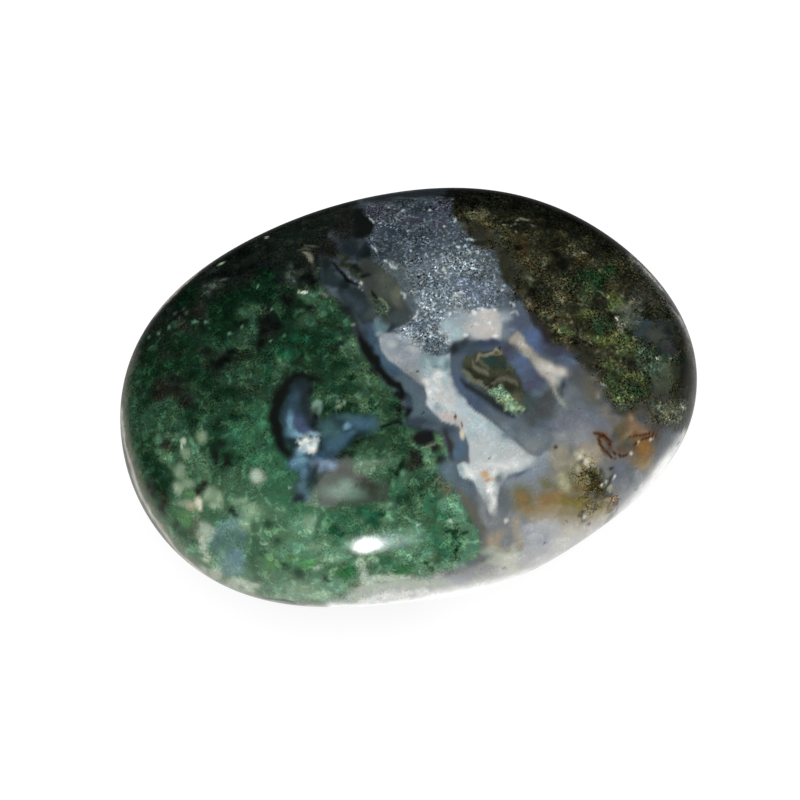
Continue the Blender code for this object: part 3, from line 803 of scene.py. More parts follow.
OLIVE_EDGE = [
    (452, 150), (452, 214), (459, 222), (462, 232), (469, 240), (468, 247), (490, 248), (495, 257),
    (499, 268), (507, 284), (516, 290), (523, 302), (530, 314), (533, 326), (542, 338), (546, 348),
    (560, 354), (574, 362), (587, 372), (597, 388), (606, 402), (620, 414), (640, 418), (655, 427),
    (672, 434), (700, 432), (780, 420), (780, 300), (700, 180), (560, 110),
]
BACK_EDGE = [
    (440, 180), (453, 212), (460, 209), (475, 207), (500, 214), (530, 216), (552, 226), (575, 232),
    (606, 244), (640, 268), (662, 292), (676, 322), (692, 350), (720, 340), (700, 250), (620, 180),
    (520, 150),
]
olive_cover = patch(OLIVE_EDGE, 5, WAVY)
lay(BARK, olive_cover)
lay(SOOT, olive_cover * eased(0.5 + 0.9 * cloud(2.6, 71)))
# the back edge is laid darkest: partly the moss's own colour and partly painted shade
lay(RAVEN, patch(BACK_EDGE, 6, WAVY))
OLIVE_PATCHES = (
    (RAVEN, [
        (505, 221, 11, 4), (520, 222, 12, 5), (536, 226, 9, 5), (551, 226, 13, 6, 20), (556, 247, 5, 9),
        (574, 231, 14, 5, 20), (602, 246, 12, 5, 30),
    ]),
    (SOOT, [
        (545, 246, 8, 6), (550, 262, 5, 8), (571, 258, 6, 6), (592, 249, 11, 6, 30), (601, 257, 9, 6, 30),
        (565, 276, 7, 6), (590, 303, 8, 6), (600, 300, 6, 8), (530, 290, 9, 4, 30), (542, 293, 9, 5, 30),
        (549, 303, 7, 4), (635, 279, 9, 6, 40), (668, 309, 6, 12, -30), (630, 362, 6, 4),
        (575, 338, 5, 4), (590, 325, 7, 5), (595, 312, 6, 4), (648, 313, 5, 4),
    ]),
    (BARK, [
        (512, 248, 8, 4), (535, 240, 7, 6), (575, 246, 8, 5), (565, 245, 5, 5), (546, 272, 8, 5),
        (555, 275, 7, 5), (571, 290, 7, 6), (570, 303, 7, 5), (581, 296, 7, 7), (580, 304, 6, 5),
        (580, 325, 7, 5), (605, 315, 6, 5), (621, 286, 6, 6), (640, 366, 5, 5),
    ]),
    (KHAKI, [
        (480, 220, 10, 5, 10), (489, 226, 7, 4, 10), (505, 234, 9, 6), (541, 258, 8, 6, 30),
        (531, 257, 7, 6), (521, 262, 8, 4, 20), (536, 275, 8, 4, 20), (556, 284, 10, 6, 10),
        (580, 254, 6, 7), (590, 262, 8, 5), (555, 315, 8, 6), (566, 319, 6, 5), (550, 330, 7, 5),
        (570, 326, 6, 5), (561, 304, 6, 4), (597, 350, 7, 7), (606, 353, 7, 7), (617, 354, 6, 6),
        (600, 365, 9, 6), (601, 376, 7, 6), (613, 284, 6, 6), (618, 366, 7, 5), (606, 390, 7, 6),
    ]),
    (STRAW, [
        (471, 214, 7, 4, 10), (481, 213, 5, 2.5, 20), (560, 296, 6, 5), (545, 316, 6, 4),
        (564, 341, 7, 4), (554, 341, 5, 3.5), (586, 338, 6, 4, 30), (560, 328, 5, 5),
        (613, 400, 7, 4, 10), (530, 278, 6, 2.5, 30), (546, 259, 4, 3),
    ]),
    (LICHEN, [
        (613, 296, 7, 4), (620, 301, 6, 5), (612, 307, 6, 5), (596, 338, 6, 4), (605, 341, 6, 5),
        (616, 338, 7, 6), (625, 341, 7, 7), (634, 346, 6, 7), (625, 352, 7, 4), (607, 366, 6, 5),
        (632, 376, 7, 4), (640, 378, 5, 4), (585, 314, 8, 3.5), (622, 400, 8, 4), (565, 333, 6, 4),
        (631, 399, 5, 4),
    ]),
    (PINE, [
        (590, 276, 11, 6), (601, 276, 8, 6), (610, 269, 7, 4), (576, 282, 6, 4), (600, 286, 6, 4),
        (602, 331, 4, 5), (636, 389, 7, 4), (685, 360, 4, 5),
    ]),
    (THYME, [
        (600, 324, 6, 5), (610, 326, 6, 5), (590, 289, 7, 5), (620, 375, 6, 6), (615, 387, 6, 6),
        (610, 379, 5, 5), (625, 388, 6, 4), (646, 390, 5, 5), (648, 380, 5, 5), (583, 297, 5, 4),
    ]),
    (TEAL_LICHEN, [
        (650, 358, 9, 7), (661, 361, 6, 6), (655, 369, 9, 7, 30), (672, 358, 6, 4), (645, 366, 5, 5),
        (640, 352, 4, 5),
    ]),
    (ASH, [
        (662, 406, 9, 9), (673, 410, 6, 8), (654, 414, 6, 5), (676, 419, 4, 5), (653, 402, 5, 4),
        (621, 409, 7, 3, -10), (665, 417, 6, 6), (682, 408, 4, 7),
    ]),
    (PEARL, [(627, 309, 7, 6), (628, 320, 8, 7), (624, 326, 5, 4)]),
    (FLINT, [(636, 299, 6, 5), (638, 320, 6, 6), (641, 310, 5, 4)]),
    (GRAVEL, [(645, 291, 8, 8, -40), (655, 302, 6, 6), (636, 291, 5, 4)]),
)
lay_patches(OLIVE_PATCHES, 0.8, WAVY, 0.5, olive_cover)

# smooth agate between the crumbs
SMOOTH_PATCHES = (
    (TAUPE, [
        (465, 227, 5, 6), (489, 236, 11, 5, 5), (495, 255, 4, 6), (512, 284, 6, 5), (526, 273, 5, 4),
        (519, 266, 5, 5), (521, 293, 5, 6),
    ]),
    (SMOKE, [
        (477, 232, 8, 6), (507, 262, 9, 10), (511, 274, 8, 6), (484, 244, 8, 3), (500, 248, 6, 4),
        (588, 360, 10, 5), (576, 351, 16, 5, 10), (563, 350, 8, 3), (540, 327, 4, 7, -20),
        (534, 316, 4, 5), (606, 404, 7, 5, 30),
    ]),
    (CHARCOAL, [
        (475, 245, 8, 4, 10), (545, 338, 5, 5), (600, 301, 5, 5), (684, 374, 6, 16, -5), (570, 262, 6, 5),
        (590, 370, 6, 4, 30),
    ]),
    (JET, [(561, 262, 6, 8), (557, 255, 4, 5), (564, 269, 5, 3), (533, 289, 5, 2, 25)]),
    (DUSK, [(656, 335, 13, 11, -10), (668, 346, 9, 8)]),
    (MOONSTONE, [(656, 338, 7, 6)]),
    (agate(52, 64, 67), [(648, 325, 6, 5), (641, 333, 4, 4)]),
    (agate(46, 52, 49), [(644, 342, 4, 5), (661, 325, 6, 4), (672, 326, 5, 5)]),
    (agate(50, 48, 52), [(672, 350, 6, 5)]),
    (LODEN, [(667, 372, 7, 8), (664, 384, 9, 6), (656, 378, 5, 4)]),
    (agate(67, 69, 60), [(656, 393, 7, 5), (667, 396, 6, 4), (641, 405, 8, 5), (650, 400, 5, 3)]),
    (agate(50, 54, 43), [(678, 395, 5, 7), (676, 376, 4, 6)]),
    (agate(78, 79, 70), [(642, 413, 8, 4), (655, 424, 12, 4), (672, 427, 8, 4)]),
)
lay_patches(SMOOTH_PATCHES, 0.9, WAVY, 0.3, olive_cover)

# golden and rusty stains
GOLD_STAIN = moss(66, 58, 34, 0.9, 0.15, 0.6)
RUST_STAIN = moss(60, 47, 31, 0.7, 0.1, 0.5)
OLIVE_STAINS = (
    (GOLD_STAIN, spots, [
        (518, 238, 7, 3, 5), (510, 241, 4, 2), (532, 264, 4, 2, 30), (585, 256, 5, 2),
    ], 0.9, WAVY, 0.5),
    (RUST_STAIN, spots, [(526, 246, 3.5, 5), (568, 348, 4, 2.5), (577, 264, 4, 2)], 0.9, WAVY, 0.5),
    (moss(84, 76, 60, 0.5, 0.05, 0.4), spots, [(531, 304, 4, 4), (529, 298, 2, 3)], 0.9, WAVY, 0.4),
    (JET, strand, [(466, 219, 1.2), (468, 222, 1.6), (469, 226, 1.0)], 1.0, CALM),
    (JET, spots, [
        (518, 247, 4, 1.6), (508, 243, 3, 1.4), (515, 226, 4, 1.2, 15), (614, 315, 5, 2.5),
        (611, 322, 3, 4), (604, 296, 4, 1.2, 35),
    ], 0.8, WAVY, 0.5),
)
lay_marks(OLIVE_STAINS)

# pale crumbs that stand out one by one
PALE_CRUMBS = [
    (619, 316, 1.6, 1.0), (623, 333, 1.4, 1.2), (590, 291, 1.2, 1.2), (580, 299, 1.2, 1.2),
    (563, 301, 1.4, 1.8), (532, 226, 1.3, 1.3), (544, 263, 1.6, 1.2), (589, 343, 1.8, 1.0, 40),
    (662, 423, 1.4, 1.2), (657, 420, 1.1, 1.2), (572, 324, 2, 1, 20), (548, 317, 2, 0.8),
    (518, 233, 1.2, 0.8), (493, 217, 2, 0.8), (505, 225, 2, 1), (608, 309, 1.6, 0.9, 30),
    (632, 303, 1.2, 1.6), (634, 314, 1.4, 1.2), (622, 295, 1.2, 1), (601, 270, 0.9, 1.2),
    (606, 272, 1.2, 0.8), (584, 252, 1.2, 0.8), (575, 253, 0.9, 1.2), (569, 243, 1.4, 0.8),
    (591, 379, 2, 1, -20), (599, 396, 1.2, 2), (604, 386, 1.6, 1, 40), (634, 337, 1.2, 1.2),
    (630, 350, 1.2, 1), (618, 347, 1.2, 1),
]
PALE_STREAKS = [
    [(516, 219.5, 0.4), (522, 219, 0.7), (528, 221, 0.4)], [(511, 225, 0.4), (517, 223.5, 0.6)],
    [(599, 290, 0.4), (603, 292, 0.9), (606, 295, 0.4)],
    [(527, 275, 0.5), (531, 277.5, 0.9), (534, 279, 0.5)],
    [(468, 211, 0.5), (474, 211.5, 0.7), (480, 215, 0.4)], [(482, 211, 0.4), (486, 215, 0.6)],
    [(659, 408, 0.5), (662, 412, 0.7), (660, 417, 0.5)],
    [(668, 404, 0.5), (671, 410, 0.7), (667, 415, 0.5)],
]
lay(agate(128, 128, 108), spots(PALE_CRUMBS, 0.8, WAVY, 0.3))
for streak in PALE_STREAKS:
    lay(agate(112, 112, 92), strand(streak, 0.9, WAVY))
PALE_POINTS = [(617.5, 318, 1.4, 1.4), (656, 359, 1.3, 1.1)]
lay(agate(236, 236, 226), spots(PALE_POINTS, 0.5, CALM, 0))

# crumbs that shade off into the lavender
DUSKY_PATCHES = (
    (agate(92, 90, 86), [(588, 382, 8, 9, -20), (595, 392, 8, 7, 20), (580, 374, 9, 6, 30)]),
    (agate(98, 94, 82), [(594, 396, 9, 6, 30), (586, 394, 6, 6)]),
    (agate(136, 134, 127), [(591, 378, 3, 1.6), (598, 397, 1.6, 2.4, 20), (603, 385, 2.4, 1.6, 30)]),
)
lay_patches(DUSKY_PATCHES, 0.9, CALM, 0.3)

# The olive lens and its frond
# A smooth grey-olive lens of jasper lies between the channel and the seam, with a pale green frond in it.

LENS_EDGE = [
    (360, 258), (374, 260), (386, 268), (396, 278), (403, 290), (405, 302), (410, 314), (404, 324),
    (390, 328), (380, 322), (370, 310), (366, 296), (360, 280),
]
FROND_EDGE = [
    (373, 300), (375, 297), (380, 298), (384, 302), (389, 308), (391, 312), (388, 318), (383, 321),
    (379, 316), (375, 310),
]
LENS_MARKS = (
    (agate(60, 66, 62), patch, LENS_EDGE, 4),
    (agate(78, 84, 77), spots, [
        (386, 281, 10, 7, 40), (392, 291, 8, 10, -10), (399, 304, 5, 5),
    ], 0.8, WAVY, 0.2),
    (agate(97, 103, 88), spots, [(396, 294, 4.5, 7, 5)], 0.9, WAVY, 0.2),
    (agate(52, 57, 53), spots, [(391, 311, 7, 4, 30), (367, 271, 6, 7)], 0.8, WAVY, 0.3),
    (agate(62, 72, 73), spots, [(399, 319, 11, 6, -10), (370, 314, 5, 7)], 0.7, WAVY, 0.2),
    (moss(45, 52, 43, 0.6), spots, [
        (345, 266, 7, 8, 20), (353, 275, 10, 5, 25), (348, 258, 9, 3, 10),
    ], 0.6),
    (agate(24, 29, 24), spots, [(357, 268, 6, 3.5, 20), (365, 277, 4, 3)], 0.6, WAVY, 0.4),
    (agate(13, 15, 14), strand, [
        (333, 264, 1.6), (340, 272, 2.2), (347, 280, 2.2), (357, 285, 1.4),
    ], 1.6, CALM),
    (moss(69, 82, 70, 0.8), patch, FROND_EDGE, 2.0, RAGGED),
    (agate(114, 123, 100), strand, [
        (375, 298, 0.7), (380, 299, 1.0), (384, 303, 1.0), (387, 309, 0.7),
    ], 1.0, CALM),
    (agate(10, 13, 10), strand, [(371, 291, 1.0), (373, 295, 1.8), (376, 299, 1.2)], 1.2, CALM),
    (agate(190, 194, 180), spots, [(360.5, 283.5, 1.6, 1.4)], 0.5, CALM, 0),
    (agate(128, 132, 120), spots, [
        (355, 281, 1.2, 1), (358, 287, 1.4, 1), (349, 277, 1.4, 1), (362, 290, 1, 1.2),
    ], 0.5, CALM, 0),
)
lay_marks(LENS_MARKS)

# The sugary quartz seam
# A seam of tiny quartz crystals, cut through by the polish, so it shows a salt-and-pepper grain. It is darker
# at the top and turns bluer and paler towards the white agate below it.

QUARTZ_SUGAR, QUARTZ_GRIT = 0.7, 0.5


def quartz(red, green, blue, contrast=0.7, pits=0.1):
    """Sugary quartz of one mean colour, a third of it lighter by the contrast, with dark pits in it."""
    return np.concatenate([moss(red, green, blue, contrast, pits)[:SUGAR], [QUARTZ_SUGAR, QUARTZ_GRIT]])


SEAM_EDGE = [
    (372, 197), (367, 204), (364, 211), (368, 218), (375, 223), (371, 230), (364, 240), (370, 246),
    (371, 256), (376, 264), (386, 272), (396, 280), (402, 289), (407, 303), (413, 312), (406, 322),
    (398, 330), (388, 334), (392, 345), (400, 352), (428, 362), (446, 354), (455, 342), (466, 330),
    (480, 322), (500, 322), (514, 318), (518, 310), (511, 303), (509, 298), (515, 292), (508, 286),
    (502, 276), (499, 264), (496, 252), (488, 249), (478, 252), (472, 246), (466, 240), (466, 232),
    (459, 226), (456, 217), (450, 214), (450, 205), (454, 198), (440, 196), (420, 197), (400, 197),
]
seam_cover = patch(SEAM_EDGE, 1.4, WAVY)
SEAM_PATCHES = (
    (quartz(70, 80, 89), [(415, 235, 70, 40)]),
    (quartz(54, 63, 69), [(405, 200, 26, 9), (424, 208, 12, 6), (392, 214, 8, 5), (450, 204, 6, 8)]),
    (quartz(71, 73, 83, 0.5), [
        (380, 210, 13, 9), (442, 206, 10, 12), (440, 222, 7, 8), (412, 222, 8, 3),
    ]),
    (quartz(84, 94, 103), [
        (410, 246, 12, 5), (432, 246, 14, 7), (450, 236, 10, 8), (456, 226, 6, 8), (385, 224, 8, 4),
    ]),
    (quartz(60, 70, 77), [
        (386, 243, 10, 5), (418, 244, 5, 6), (404, 262, 12, 5), (380, 256, 7, 5), (396, 232, 12, 5),
    ]),
    (quartz(90, 101, 109), [(440, 262, 34, 10), (420, 262, 10, 6), (460, 254, 20, 8)]),
    (quartz(114, 126, 135, 0.8, 0.14), [
        (450, 278, 38, 18), (436, 296, 26, 14), (478, 276, 24, 10), (410, 290, 10, 14),
    ]),
    (quartz(95, 106, 112, 0.9, 0.2), [
        (478, 262, 14, 6), (478, 275, 14, 6), (426, 284, 9, 8), (494, 274, 6, 10),
    ]),
    (quartz(136, 150, 158, 0.9, 0.14), [
        (448, 269, 9, 8, 20), (436, 300, 10, 8), (424, 300, 8, 7), (440, 290, 7, 5), (468, 265, 12, 4),
    ]),
    (quartz(112, 125, 140, 0.5, 0.05), [(475, 290, 26, 7, 5), (482, 302, 20, 8), (462, 283, 10, 5)]),
    (quartz(122, 135, 143, 0.4, 0.05), [
        (450, 305, 16, 8), (462, 303, 14, 6), (440, 312, 12, 5), (474, 308, 10, 4),
    ]),
    (quartz(110, 122, 132, 0.6, 0.12), [
        (425, 320, 16, 12), (432, 336, 16, 14), (444, 346, 8, 6), (412, 322, 8, 6),
    ]),
    (quartz(116, 129, 137, 0.7, 0.12), [(432, 326, 10, 6), (424, 334, 8, 5)]),
    (quartz(146, 158, 166, 0.6, 0.05), [
        (446, 318, 8, 6), (424, 303, 6, 4), (458, 316, 8, 5), (408, 336, 9, 6), (404, 329, 8, 4),
    ]),
    (moss(86, 98, 102, 0.4, 0.03, 0.2), [
        (396, 276, 12, 7, 30), (405, 286, 9, 13), (411, 302, 8, 11), (388, 264, 9, 4, 20),
    ]),
    (quartz(94, 108, 114, 0.5, 0.1), [(434, 345, 8, 6), (434, 353, 10, 4)]),
)
lay_patches(SEAM_PATCHES, 0.8, WAVY, 0.5, seam_cover)
SPARKLES = [
    (403, 211, 1.2, 0.8), (429, 211, 1.4, 1.2), (444, 226, 1.5, 1), (455, 221, 1.2, 1.6),
    (408, 232, 1.2, 0.9), (458.5, 246, 1.5, 1.2), (466, 246, 1.2, 1.5), (478, 252.5, 2.4, 1.1),
    (438.5, 272, 1, 1.5), (444.5, 269.5, 1.6, 2), (474, 268.5, 1.8, 1), (487, 286, 1.2, 1.2),
    (504, 285.5, 1.8, 1.1), (503, 289.5, 1.6, 0.9), (461, 293, 1.6, 1.6), (433, 305, 2.2, 1.2, -40),
    (449, 313, 1.7, 1.7), (431, 334, 1.3, 2), (442, 332, 1.8, 1.8), (423, 343.5, 1.8, 1.5),
    (407, 338, 1.5, 1.3), (386, 262, 2, 1, 20), (459, 274, 1.6, 1),
]
SPARKLING_EDGES = [
    [(371, 246, 0.5), (374, 248, 0.9), (376, 251, 1.0)],
    [(390, 265, 0.7), (393, 268, 1.5), (397, 269, 1.1)], [(467.5, 250, 0.9), (470, 253, 1.5)],
    [(401, 291, 0.6), (405, 294, 1.3), (405, 298, 0.8)],
    [(417, 309, 0.6), (416, 314, 1.0), (413, 318, 1.1)],
    [(453, 300, 0.7), (453, 297, 1.1), (456, 295.5, 1.0), (459, 297, 0.7)],
    [(510, 303, 0.7), (513.5, 305, 0.9), (513, 309, 0.8)],
    [(510, 314, 0.7), (514, 312, 1.2), (518, 315, 1.2)], [(370, 219, 0.4), (374, 222, 0.7)],
    [(466, 240, 0.5), (470, 240, 0.7), (474, 241, 0.5)],
]
lay(agate(190, 202, 206), spots(SPARKLES, 0.7, CALM, 0.3))
for edge in SPARKLING_EDGES:
    lay(agate(180, 192, 194), strand(edge, 1.0, CALM))
SEAM_PITS = [(456.5, 298.2, 1.2, 1), (511, 306.5, 1.2, 1.4)]
lay(agate(48, 52, 54), spots(SEAM_PITS, 0.5, CALM, 0))

# painted shade: a dark band laid along the back edge above the seam
SEAM_BACK_SHADE = (
    (agate(42, 48, 53), strand, [
        (364, 201, 2), (385, 197, 3.5), (410, 195, 4), (432, 192, 4), (448, 190, 3),
    ], 2.5, CALM),
    (agate(18, 22, 20), strand, [(448, 197, 3), (453, 188, 6)], 3, CALM),
)
lay_marks(SEAM_BACK_SHADE)

# The white agate
# Milky agate below the seam: a broad white body that narrows to a point, a cream patch, and a cream branch
# that looks like a bone.

SNOW = agate(226, 229, 226)
WHITE = agate(204, 209, 209)
MILK = agate(184, 191, 192)
CREAM = agate(196, 192, 187)
ROSE = agate(190, 181, 174)
ICE = agate(179, 194, 199)
HAZE = agate(156, 169, 176)
LILAC_HAZE = agate(146, 155, 163)
FROST = agate(165, 188, 191)
SEA = agate(138, 162, 167)
DEEP_SEA = agate(106, 138, 143)
DOVE = agate(116, 117, 118)
SAND = agate(198, 164, 124)

WHITE_EDGE = [
    (380, 333), (381, 345), (384, 353), (390, 361), (399, 367), (412, 377), (424, 386), (427, 396),
    (425, 404), (432, 412), (442, 421), (456, 424), (463, 430), (468, 440), (470, 452), (470, 464),
    (463, 462), (457, 466), (458, 472), (463, 478), (472, 480), (478, 488), (483, 498), (488, 508),
    (492, 515), (498, 518), (499, 508), (498, 498), (500, 489), (503, 481), (508, 474), (518, 472),
    (533, 469), (540, 461), (537, 457), (530, 455), (520, 447), (513, 441), (507, 436), (500, 429),
    (494, 424), (485, 418), (477, 412), (470, 404), (463, 396), (457, 387), (452, 376), (450, 365),
    (449, 352), (440, 358), (424, 352), (418, 342), (408, 336), (396, 333),
]
CREAM_EDGE = [
    (480, 309), (486, 307.5), (494, 308), (501, 310), (503, 318), (501, 326), (500, 334), (499, 340),
    (490, 341), (480, 341), (472, 339), (466, 335), (462, 328), (466, 320), (472, 314), (476, 311),
]
white_cover = patch(WHITE_EDGE, 1.6, CALM)
lay(MILK, white_cover)
WHITE_PATCHES = (
    (LILAC_HAZE, [(402, 350, 24, 16, 30), (416, 364, 14, 9, 30)]),
    (quartz(148, 159, 168, 0.5, 0.04), [(412, 340, 14, 6, 15), (426, 350, 8, 5, 20)]),
    (HAZE, [(390, 343, 7, 6), (408, 342, 6, 4), (396, 336, 9, 3)]),
    (MILK, [(393, 345, 4, 3), (400, 338, 4, 2), (412, 351, 5, 3, 30)]),
    (DOVE, [(413, 378, 13, 7, 42), (420, 391, 6, 8)]),
    (SEA, [(437, 361, 13, 7), (448, 366, 4, 9), (426, 361, 6, 6)]),
    (DEEP_SEA, [(432, 355, 5, 2.5), (446, 365, 3, 4), (437, 366, 4, 2)]),
    (FROST, [(428, 370, 4, 6), (447, 376, 4, 6), (441, 362, 3, 3)]),
    (SNOW, [
        (441, 375, 6, 3), (436, 378, 3, 2), (429, 383, 3, 4), (430, 393, 2.5, 5), (440, 381, 2, 2.5),
    ]),
    (WHITE, [(436, 388, 6, 7), (446, 402, 13, 7, 35), (432, 400, 3, 5)]),
    (CREAM, [(449, 399, 5, 2.6), (440, 396, 3, 3)]),
    (ICE, [(462, 404, 6, 12, -42), (470, 414, 12, 9, 42), (484, 430, 17, 8, 40), (500, 437, 8, 6, 40)]),
    (FROST, [(478, 418, 8, 3, 42), (492, 428, 8, 3, 40), (502, 438, 5, 3, 40), (472, 432, 5, 6)]),
    (HAZE, [(443, 413, 8, 4, 35), (436, 408, 4, 4)]),
    (ROSE, [(450, 418, 10, 4, 12), (458, 422, 5, 3, 30)]),
    (MILK, [(498, 452, 26, 9, 35), (484, 446, 10, 10)]),
    (WHITE, [(474, 471, 14, 6), (486, 464, 12, 6), (510, 463, 16, 5), (530, 462, 8, 3.5)]),
    (SNOW, [
        (496, 474, 8, 3.5, -20), (502, 466, 10, 3), (468, 472, 6, 3), (492, 504, 3.5, 10, -8),
        (491, 487, 5, 6),
    ]),
    (SEA, [(459, 467, 3, 3.5), (466, 477, 4, 2, 20)]),
    (FROST, [(460, 472, 3, 4), (476, 483, 3, 3, 40), (480, 492, 2, 5, -25)]),
)
lay_patches(WHITE_PATCHES, 0.9, WAVY, 0.35, white_cover)

# the cream patch and the pale field beside it
FIELD_PATCHES = (
    (HAZE, [(452, 324, 13, 9, -20), (456, 333, 9, 7, -30), (464, 318, 10, 6), (506, 320, 6, 8)]),
    (FROST, [(455, 334, 7, 5, -30), (446, 326, 5, 4)]),
    (DEEP_SEA, [(505, 333, 6, 7)]),
)
lay_patches(FIELD_PATCHES)
WHITE_MARKS = (
    (agate(178, 182, 183), patch, CREAM_EDGE, 3.2, RAGGED),
    (CREAM, spots, [(485, 331, 14, 7), (489, 318, 8, 6)], 0.9, WAVY, 0.3),
    (SNOW, spots, [
        (474, 312, 2, 3), (477, 324, 2.4, 1.5), (489.5, 322, 1.5, 1.2), (494, 336.5, 3, 2.6),
        (466, 335, 2.6, 1.5), (450, 314, 1.4, 1.3), (495, 310, 1.4, 1), (482, 309, 1.6, 0.8),
    ], 0.8, CALM, 0.3),
    (SAND, spots, [(484, 474, 4.5, 2.6, 20), (489, 479, 4.5, 3)], 0.8, WAVY, 0.3),
    (agate(170, 138, 100), spots, [(487, 480.5, 2, 1.4)], 0.8, CALM, 0.2),
    (agate(214, 206, 182), spots, [(462, 434, 2.5, 5, -10)], 0.6, CALM, 0.2),
    (agate(244, 247, 247), spots, [(490, 491, 2.2, 2.6)], 0.6, CALM, 0),
    (agate(78, 62, 56), spots, [(454.5, 416, 1.6, 2.6), (461, 424, 1.4, 2)], 0.5, CALM, 0),
    (agate(70, 76, 76), spots, [(418, 372, 1.8, 1.2)], 0.5, CALM, 0),
    (agate(194, 199, 195), strand, [
        (536, 464, 1.6), (543, 458, 2.2), (548, 453, 1.8), (552, 451, 0.8),
    ], 1.2, CALM),
    # the teal tip where the lens, the seam and the white agate meet
    (agate(96, 122, 130), spots, [(381, 327, 8, 5, 20), (376, 321, 3, 4)], 0.7, WAVY, 0.3),
    (agate(126, 147, 151), spots, [(380, 334, 5, 3, 20)], 0.7, WAVY, 0.3),
    (agate(44, 52, 57), spots, [(393, 328, 6, 3, -35)], 0.7, WAVY, 0.3),
)
lay_marks(WHITE_MARKS)

# the white agate is a little dimmer towards its upper end
DIM_BOTTOM, DIM_FADE = 410, 70
lighten(-0.13 * patch(WHITE_EDGE, 3) * eased((DIM_BOTTOM - pixel_y) / DIM_FADE))

# The eye
# An olive island beside the white agate, ringed by blue-grey chalcedony and a black border, with a mint-green
# frond at its lower end.

RING_EDGE = [
    (450, 352), (458, 343), (466, 340), (480, 342), (505, 342), (530, 350), (545, 370), (556, 400),
    (556, 430), (530, 438), (505, 430), (482, 414), (464, 396), (453, 378), (450, 364),
]
ISLAND_EDGE = [
    (462, 362), (466, 355), (476, 353), (492, 351), (504, 354), (509, 363), (516, 369), (524, 382),
    (531, 397), (529, 408), (520, 410), (500, 402), (486, 394), (474, 384), (465, 374),
]
MINT_EDGE = [
    (488, 391), (492, 387.5), (496, 389), (499, 384), (501, 383), (503, 388), (508, 392), (511, 396),
    (514, 399), (518, 403), (521, 405), (526, 408), (524, 411), (519, 410), (516, 412), (513, 410),
    (510, 411), (507, 409), (504, 405), (501, 402), (497, 402), (494, 397), (490, 394),
]
BLACK_BORDER = [
    (462, 378, 1.2), (468, 384, 2.6), (477, 391, 3), (488, 399, 3.4), (499, 407, 3.2), (508, 413, 2.6),
    (516, 417, 1.2),
]

lay(agate(76, 89, 101), patch(RING_EDGE, 2, CALM))
RING_PATCHES = (
    (agate(80, 93, 106), [(456, 366, 5, 12, -8)]),
    (agate(76, 91, 113), [(462, 386, 6, 10, -35), (474, 398, 10, 5, 42)]),
    (agate(66, 80, 102), [(478, 402, 8, 4, 40), (486, 407, 8, 4, 40)]),
    (agate(90, 104, 120), [(497, 415, 12, 5, 38), (512, 424, 12, 6, 30)]),
    (agate(98, 114, 124), [(526, 430, 14, 5, 15), (508, 428, 6, 3, 40)]),
    (agate(38, 44, 45), [(455, 349, 5, 7, 35), (462, 344, 5, 3.5, -20)]),
    (agate(60, 74, 84), [(474, 346, 12, 4), (470, 351, 8, 3)]),
    (agate(60, 70, 93), [(494, 344, 9, 3.5), (484, 344, 6, 2.5)]),
    (agate(67, 67, 79), [(508, 351, 8, 6, 20), (514, 346, 8, 4, 30)]),
)
lay_patches(RING_PATCHES)
lay(moss(58, 62, 49, 0.4, 0.06, 0.15), patch(ISLAND_EDGE, 2.4))
ISLAND_PATCHES = (
    (agate(67, 73, 58), [(466, 362, 4, 6), (470, 358, 5, 3)]),
    (agate(42, 58, 54), [(489, 360, 9, 5, 10), (501, 364, 7, 4, 20)]),
    (agate(34, 64, 58), [(490, 361, 4, 2)]),
    (agate(43, 44, 34), [
        (469, 370, 5, 2.5, 45), (479, 377, 8, 3, 30), (492, 379, 6, 3), (510, 387, 8, 5, 35),
        (520, 394, 3, 4),
    ]),
    (agate(63, 65, 52), [(500, 372, 12, 5, 10), (513, 376, 6, 4, 30)]),
    (agate(86, 87, 71), [(518, 396, 8, 4, 10), (524, 402, 4, 4)]),
)
lay_patches(ISLAND_PATCHES, 0.8, WAVY, 0.35)
ISLAND_STREAKS = (
    (agate(106, 106, 89), [(471, 361, 1.0), (472, 366, 1.6), (478, 369, 2.0), (486, 372.5, 1.6)]),
    (agate(92, 92, 76), [(478, 359, 1.2), (482, 364, 1.4), (488, 368, 1.2)]),
    (agate(105, 108, 93), [(464, 371, 1.6), (470, 377, 2.6), (478, 383, 3.2), (487, 388, 2.4)]),
    (agate(98, 95, 82), [
        (492, 383, 0.8), (498, 379, 2.2), (507, 378, 2.4), (515, 381, 1.6), (520, 385, 0.8),
    ]),
    (agate(124, 121, 103), [(475, 361, 0.8), (477, 356, 1.6), (481, 356, 0.8)]),
    (agate(146, 144, 122), [
        (482, 356, 0.6), (489, 354, 0.9), (495, 350.5, 1.2), (500, 351, 1.1), (502, 354, 0.6),
    ]),
    (agate(124, 120, 98), [(502, 354, 0.5), (497, 355, 0.8), (491, 355, 0.6)]),
)
for tone, streak in ISLAND_STREAKS:
    lay(tone, strand(streak, 1.3, WAVY))
